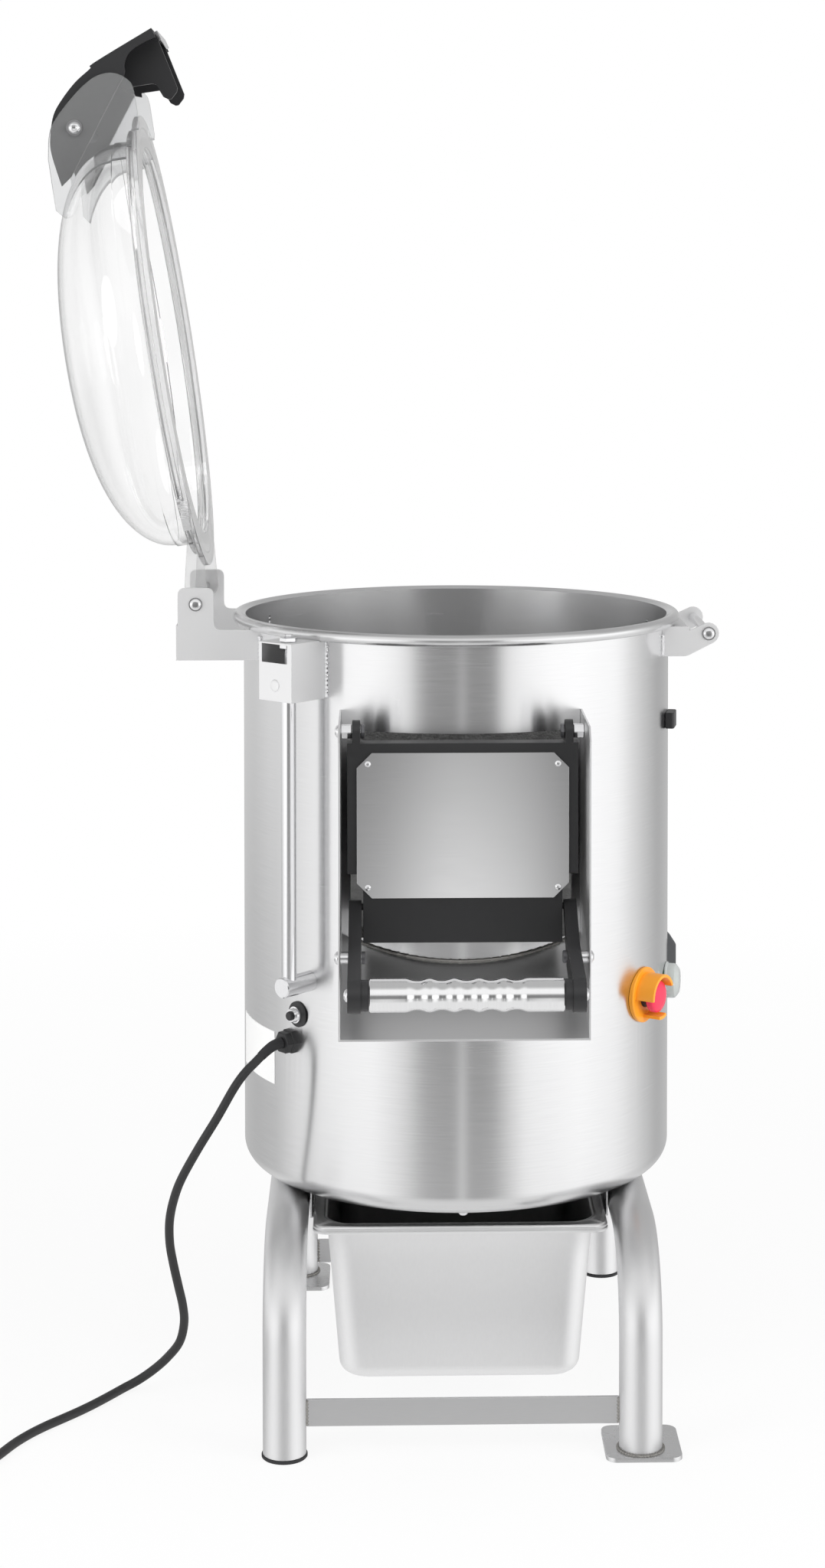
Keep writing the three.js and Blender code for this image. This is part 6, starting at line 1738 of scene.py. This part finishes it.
class PEELER_OT_switch(bpy.types.Operator):
    """Fold the lid switch's box and fit its sensor and conduit"""

    bl_idname = "peeler.lid_switch"
    bl_label = "Lid Switch"

    def execute(self, context):
        bevel = context.scene.peeler_sizes.edge_bevel
        remade("switch_box", "switch_cover", "base", "bracket", bevel)
        self.sensor()
        self.conduit()
        for side, name in SIDES:
            wall_weld("switch_weld_" + name, wall_place(SWITCH_AZIMUTH), side * 20.5, 655, 705)
        return {"FINISHED"}

    def sensor(self):
        """The threaded sensor and its two nuts."""
        profile = [(0, 681), (4, 681)]
        for z in range(682, 712):
            profile += [(3.85, z), (4.2, z + 0.5)]
        profile += [(3.9, 712.6), (3.5, 713), (0, 713)]
        whole = lathe(profile, 32)
        across = hexagon(14)
        for low, high in ((706.3, 710.3), (700.2, 704.2)):
            whole.join(lathe([
                (4, low), (across * CHAMFER, low), (across, low + 0.5), (across, high - 0.5),
                (across * CHAMFER, high), (4, high),
            ], 6))
        made = whole.shift(231, 5, 0).moved(wall_place(SWITCH_AZIMUTH))
        dress(mesh_object("sensor_barrel", made), "base", "polished", nodes=("lid_sensor",))

    def conduit(self):
        """The tube for the wires and the boss that takes them into the drum."""
        place = wall_place(SWITCH_AZIMUTH)
        low, out, end, size = 398, 226, 236, 6.8
        tube = lathe([(0, low), (size, low), (size, 653.7), (5.3, 653.7), (5.3, 640), (0, 640)], 48)
        boss = lathe_x([(0, 180), (9.1, 180), (9.1, end - 0.9), (8.2, end), (0, end)], 48)
        made = mesh_object("wire_tube", tube.shift(out, 0, 0).moved(place))
        cut(made, boss.shift(0, 0, low).moved(place), operation="UNION")
        cut(made, rod(DRUM_RADIUS + 0.1, 300, 500, ROUND_SIDES))
        dress(made, "base", "polished", 0.3, nodes=("wire_conduit",))


# Controls

class PEELER_OT_controls(bpy.types.Operator):
    """Fit the breaker, the stop button, the start button, the inlet block and the rear hood"""

    bl_idname = "peeler.controls"
    bl_label = "Controls"

    def execute(self, context):
        self.breaker()
        self.stop()
        self.start()
        remade("inlet_block", "inlet_cap", "base", "black", 0.8)
        remade("rear_hood", "hood_cover", "base", "grey", 1.5, 3)
        return {"FINISHED"}

    def fit(self, name, solid, z, azimuth, body, finish, bevel=0, segments=2, nodes=(), slot=None):
        """Places a piece that was drawn pointing out along X."""
        made = mesh_object(name, solid.shift(0, 0, z).moved(wall_place(azimuth)))
        return dress(made, body, finish, bevel, segments, nodes=nodes)

    def breaker(self):
        """The reset breaker: a bare ring, a threaded bush and a button."""
        at = BREAKER_Z, BREAKER_AZIMUTH
        ring = lathe_x([(6.4, 200.4), (11.5, 200.4), (11.5, 201.4), (11, 201.9), (6.4, 201.9)], 48)
        self.fit("breaker_ring", ring, *at, "base", "satin_black", slot="black_plastic")
        profile = [(4.25, 200.4), (7.5, 200.4), (7.5, 204.8), (6.2, 205)]
        for turn in range(3):
            profile += [(5.7, 206.1 + turn), (6.1, 206.6 + turn)]
        profile += [(5.7, 209.1), (5.7, 209.3), (4.25, 209.3)]
        bush = lathe_x(profile, 40)
        self.fit("breaker_bush", bush, *at, "base", "polished", slot="black_plastic")
        case = lathe_x([(0, 164), (6, 164), (6, 201.5), (4.25, 201.5), (4.25, 196.5), (0, 196.5)], 32)
        self.fit("breaker_case", case, *at, "base", "black", nodes=("breaker_body",),
                 slot="black_plastic")
        cap = lathe_x([(0, 199.8), (4, 199.8), (4, 211.2), (3.4, 212), (0, 212.2)], 36)
        self.fit("breaker_cap", cap, *at, "breaker_actuator", "black", nodes=("breaker_button",),
                 slot="black_plastic")

    def stop(self):
        """The stop button with its yellow-orange guard."""
        at = STOP_Z, STOP_AZIMUTH
        disc = lathe_x([(11.15, 197.3), (25, 197.3), (25, 202.3), (24.3, 203.1), (11.15, 203.1)], 72)
        made = mesh_object("guard_disc", disc.shift(0, 0, STOP_Z).moved(wall_place(STOP_AZIMUTH)))
        cut(made, rod(DRUM_RADIUS + 0.3, 300, 450, ROUND_SIDES))
        dress(made, "base", "orange", 0.3, nodes=("stop_guard",))
        for name, start, end, front in (("hood", 22, 182, 221.4), ("tongue", 255, 295, 219.6)):
            outline = arc(0, 0, 20.5, start, end, 40) + arc(0, 0, 17.5, end, start, 40)
            self.fit("guard_" + name, prism(outline, 202.3, front, "X"), *at, "base", "orange", 0.7, 3,
                     slot="orange_plastic")
        body = lathe_x([
            (0, 150.5), (10.4, 150.5), (10.9, 151), (10.9, 204.1), (10.4, 204.5), (6.75, 204.5),
            (6.75, 193.5), (0, 193.5),
        ], 40)
        self.fit("stop_block", body, *at, "base", "black", nodes=("stop_body",), slot="black_plastic")
        head = [(0, 200.3), (6.5, 200.3), (6.5, 210), (13.6, 210), (14.5, 211)]
        for degrees in range(0, 81, 10):
            angle = math.radians(degrees)
            head.append((14.5 * math.cos(angle), 215 + 5 * math.sin(angle)))
        head.append((0, 220))
        self.fit("stop_mushroom", lathe_x(head, 56), *at, "stop_actuator", "red",
                 nodes=("stop_button",), slot="red_plastic")

    def start(self):
        """The start button under its clear boot."""
        boot = lathe_x([
            (14.5, 200.4), (17.2, 200.4), (17.2, 201.6), (16, 202.4), (16, 207.4), (15.4, 209.4),
            (11.8, 212.2), (10.6, 212.8), (0, 212.8), (0, 211.4), (10.2, 211.4), (11, 211),
            (14, 208.6), (14.5, 207),
        ], 56)
        at = START_Z, START_AZIMUTH
        self.fit("boot_shell", boot, *at, "base", "boot", nodes=("start_boot",), slot="clear_boot")
        cap = lathe_x([
            (0, 197.5), (8.5, 197.5), (8.5, 203.5), (11, 203.5), (11, 207.2), (10.3, 208.2), (0, 208.5),
        ], 48)
        self.fit("start_cap", cap, *at, "start_actuator", "green", nodes=("start_button",),
                 slot="green_plastic")
        remade("start_contact", "start_block", "base", "black", 0.4)


class PEELER_PT_panel(bpy.types.Panel):
    """Lists the peeler's sizes, colours and pieces"""

    bl_label = "Potato Peeler"
    bl_idname = "PEELER_PT_panel"
    bl_space_type = "VIEW_3D"
    bl_region_type = "UI"
    bl_category = "Peeler"

    def draw(self, context):
        layout = self.layout
        for group in (context.scene.peeler_sizes, context.scene.peeler_looks):
            box = layout.box()
            for name in group.__annotations__:
                box.prop(group, name)
        for operator in OPERATORS:
            layout.operator(operator.bl_idname)


OPERATORS = (
    PEELER_OT_finishes, PEELER_OT_stage, PEELER_OT_cord, PEELER_OT_drum, PEELER_OT_stand,
    PEELER_OT_pan, PEELER_OT_chamber, PEELER_OT_chute, PEELER_OT_door, PEELER_OT_lever,
    PEELER_OT_lid, PEELER_OT_latch, PEELER_OT_brackets, PEELER_OT_switch, PEELER_OT_controls,
)
CLASSES = (PeelerSizes, PeelerLooks, *OPERATORS, PEELER_PT_panel)


def register():
    """Registers the classes and the scene's properties."""
    for item in CLASSES:
        bpy.utils.register_class(item)
    bpy.types.Scene.peeler_sizes = bpy.props.PointerProperty(type=PeelerSizes)
    bpy.types.Scene.peeler_looks = bpy.props.PointerProperty(type=PeelerLooks)


def unregister():
    """Removes the scene's properties and the classes."""
    del bpy.types.Scene.peeler_looks
    del bpy.types.Scene.peeler_sizes
    for item in reversed(CLASSES):
        bpy.utils.unregister_class(item)


def main():
    """Builds every piece in order."""
    register()
    for operator in OPERATORS:
        group, name = operator.bl_idname.split(".")
        getattr(getattr(bpy.ops, group), name)()


if __name__ == "__main__":
    main()
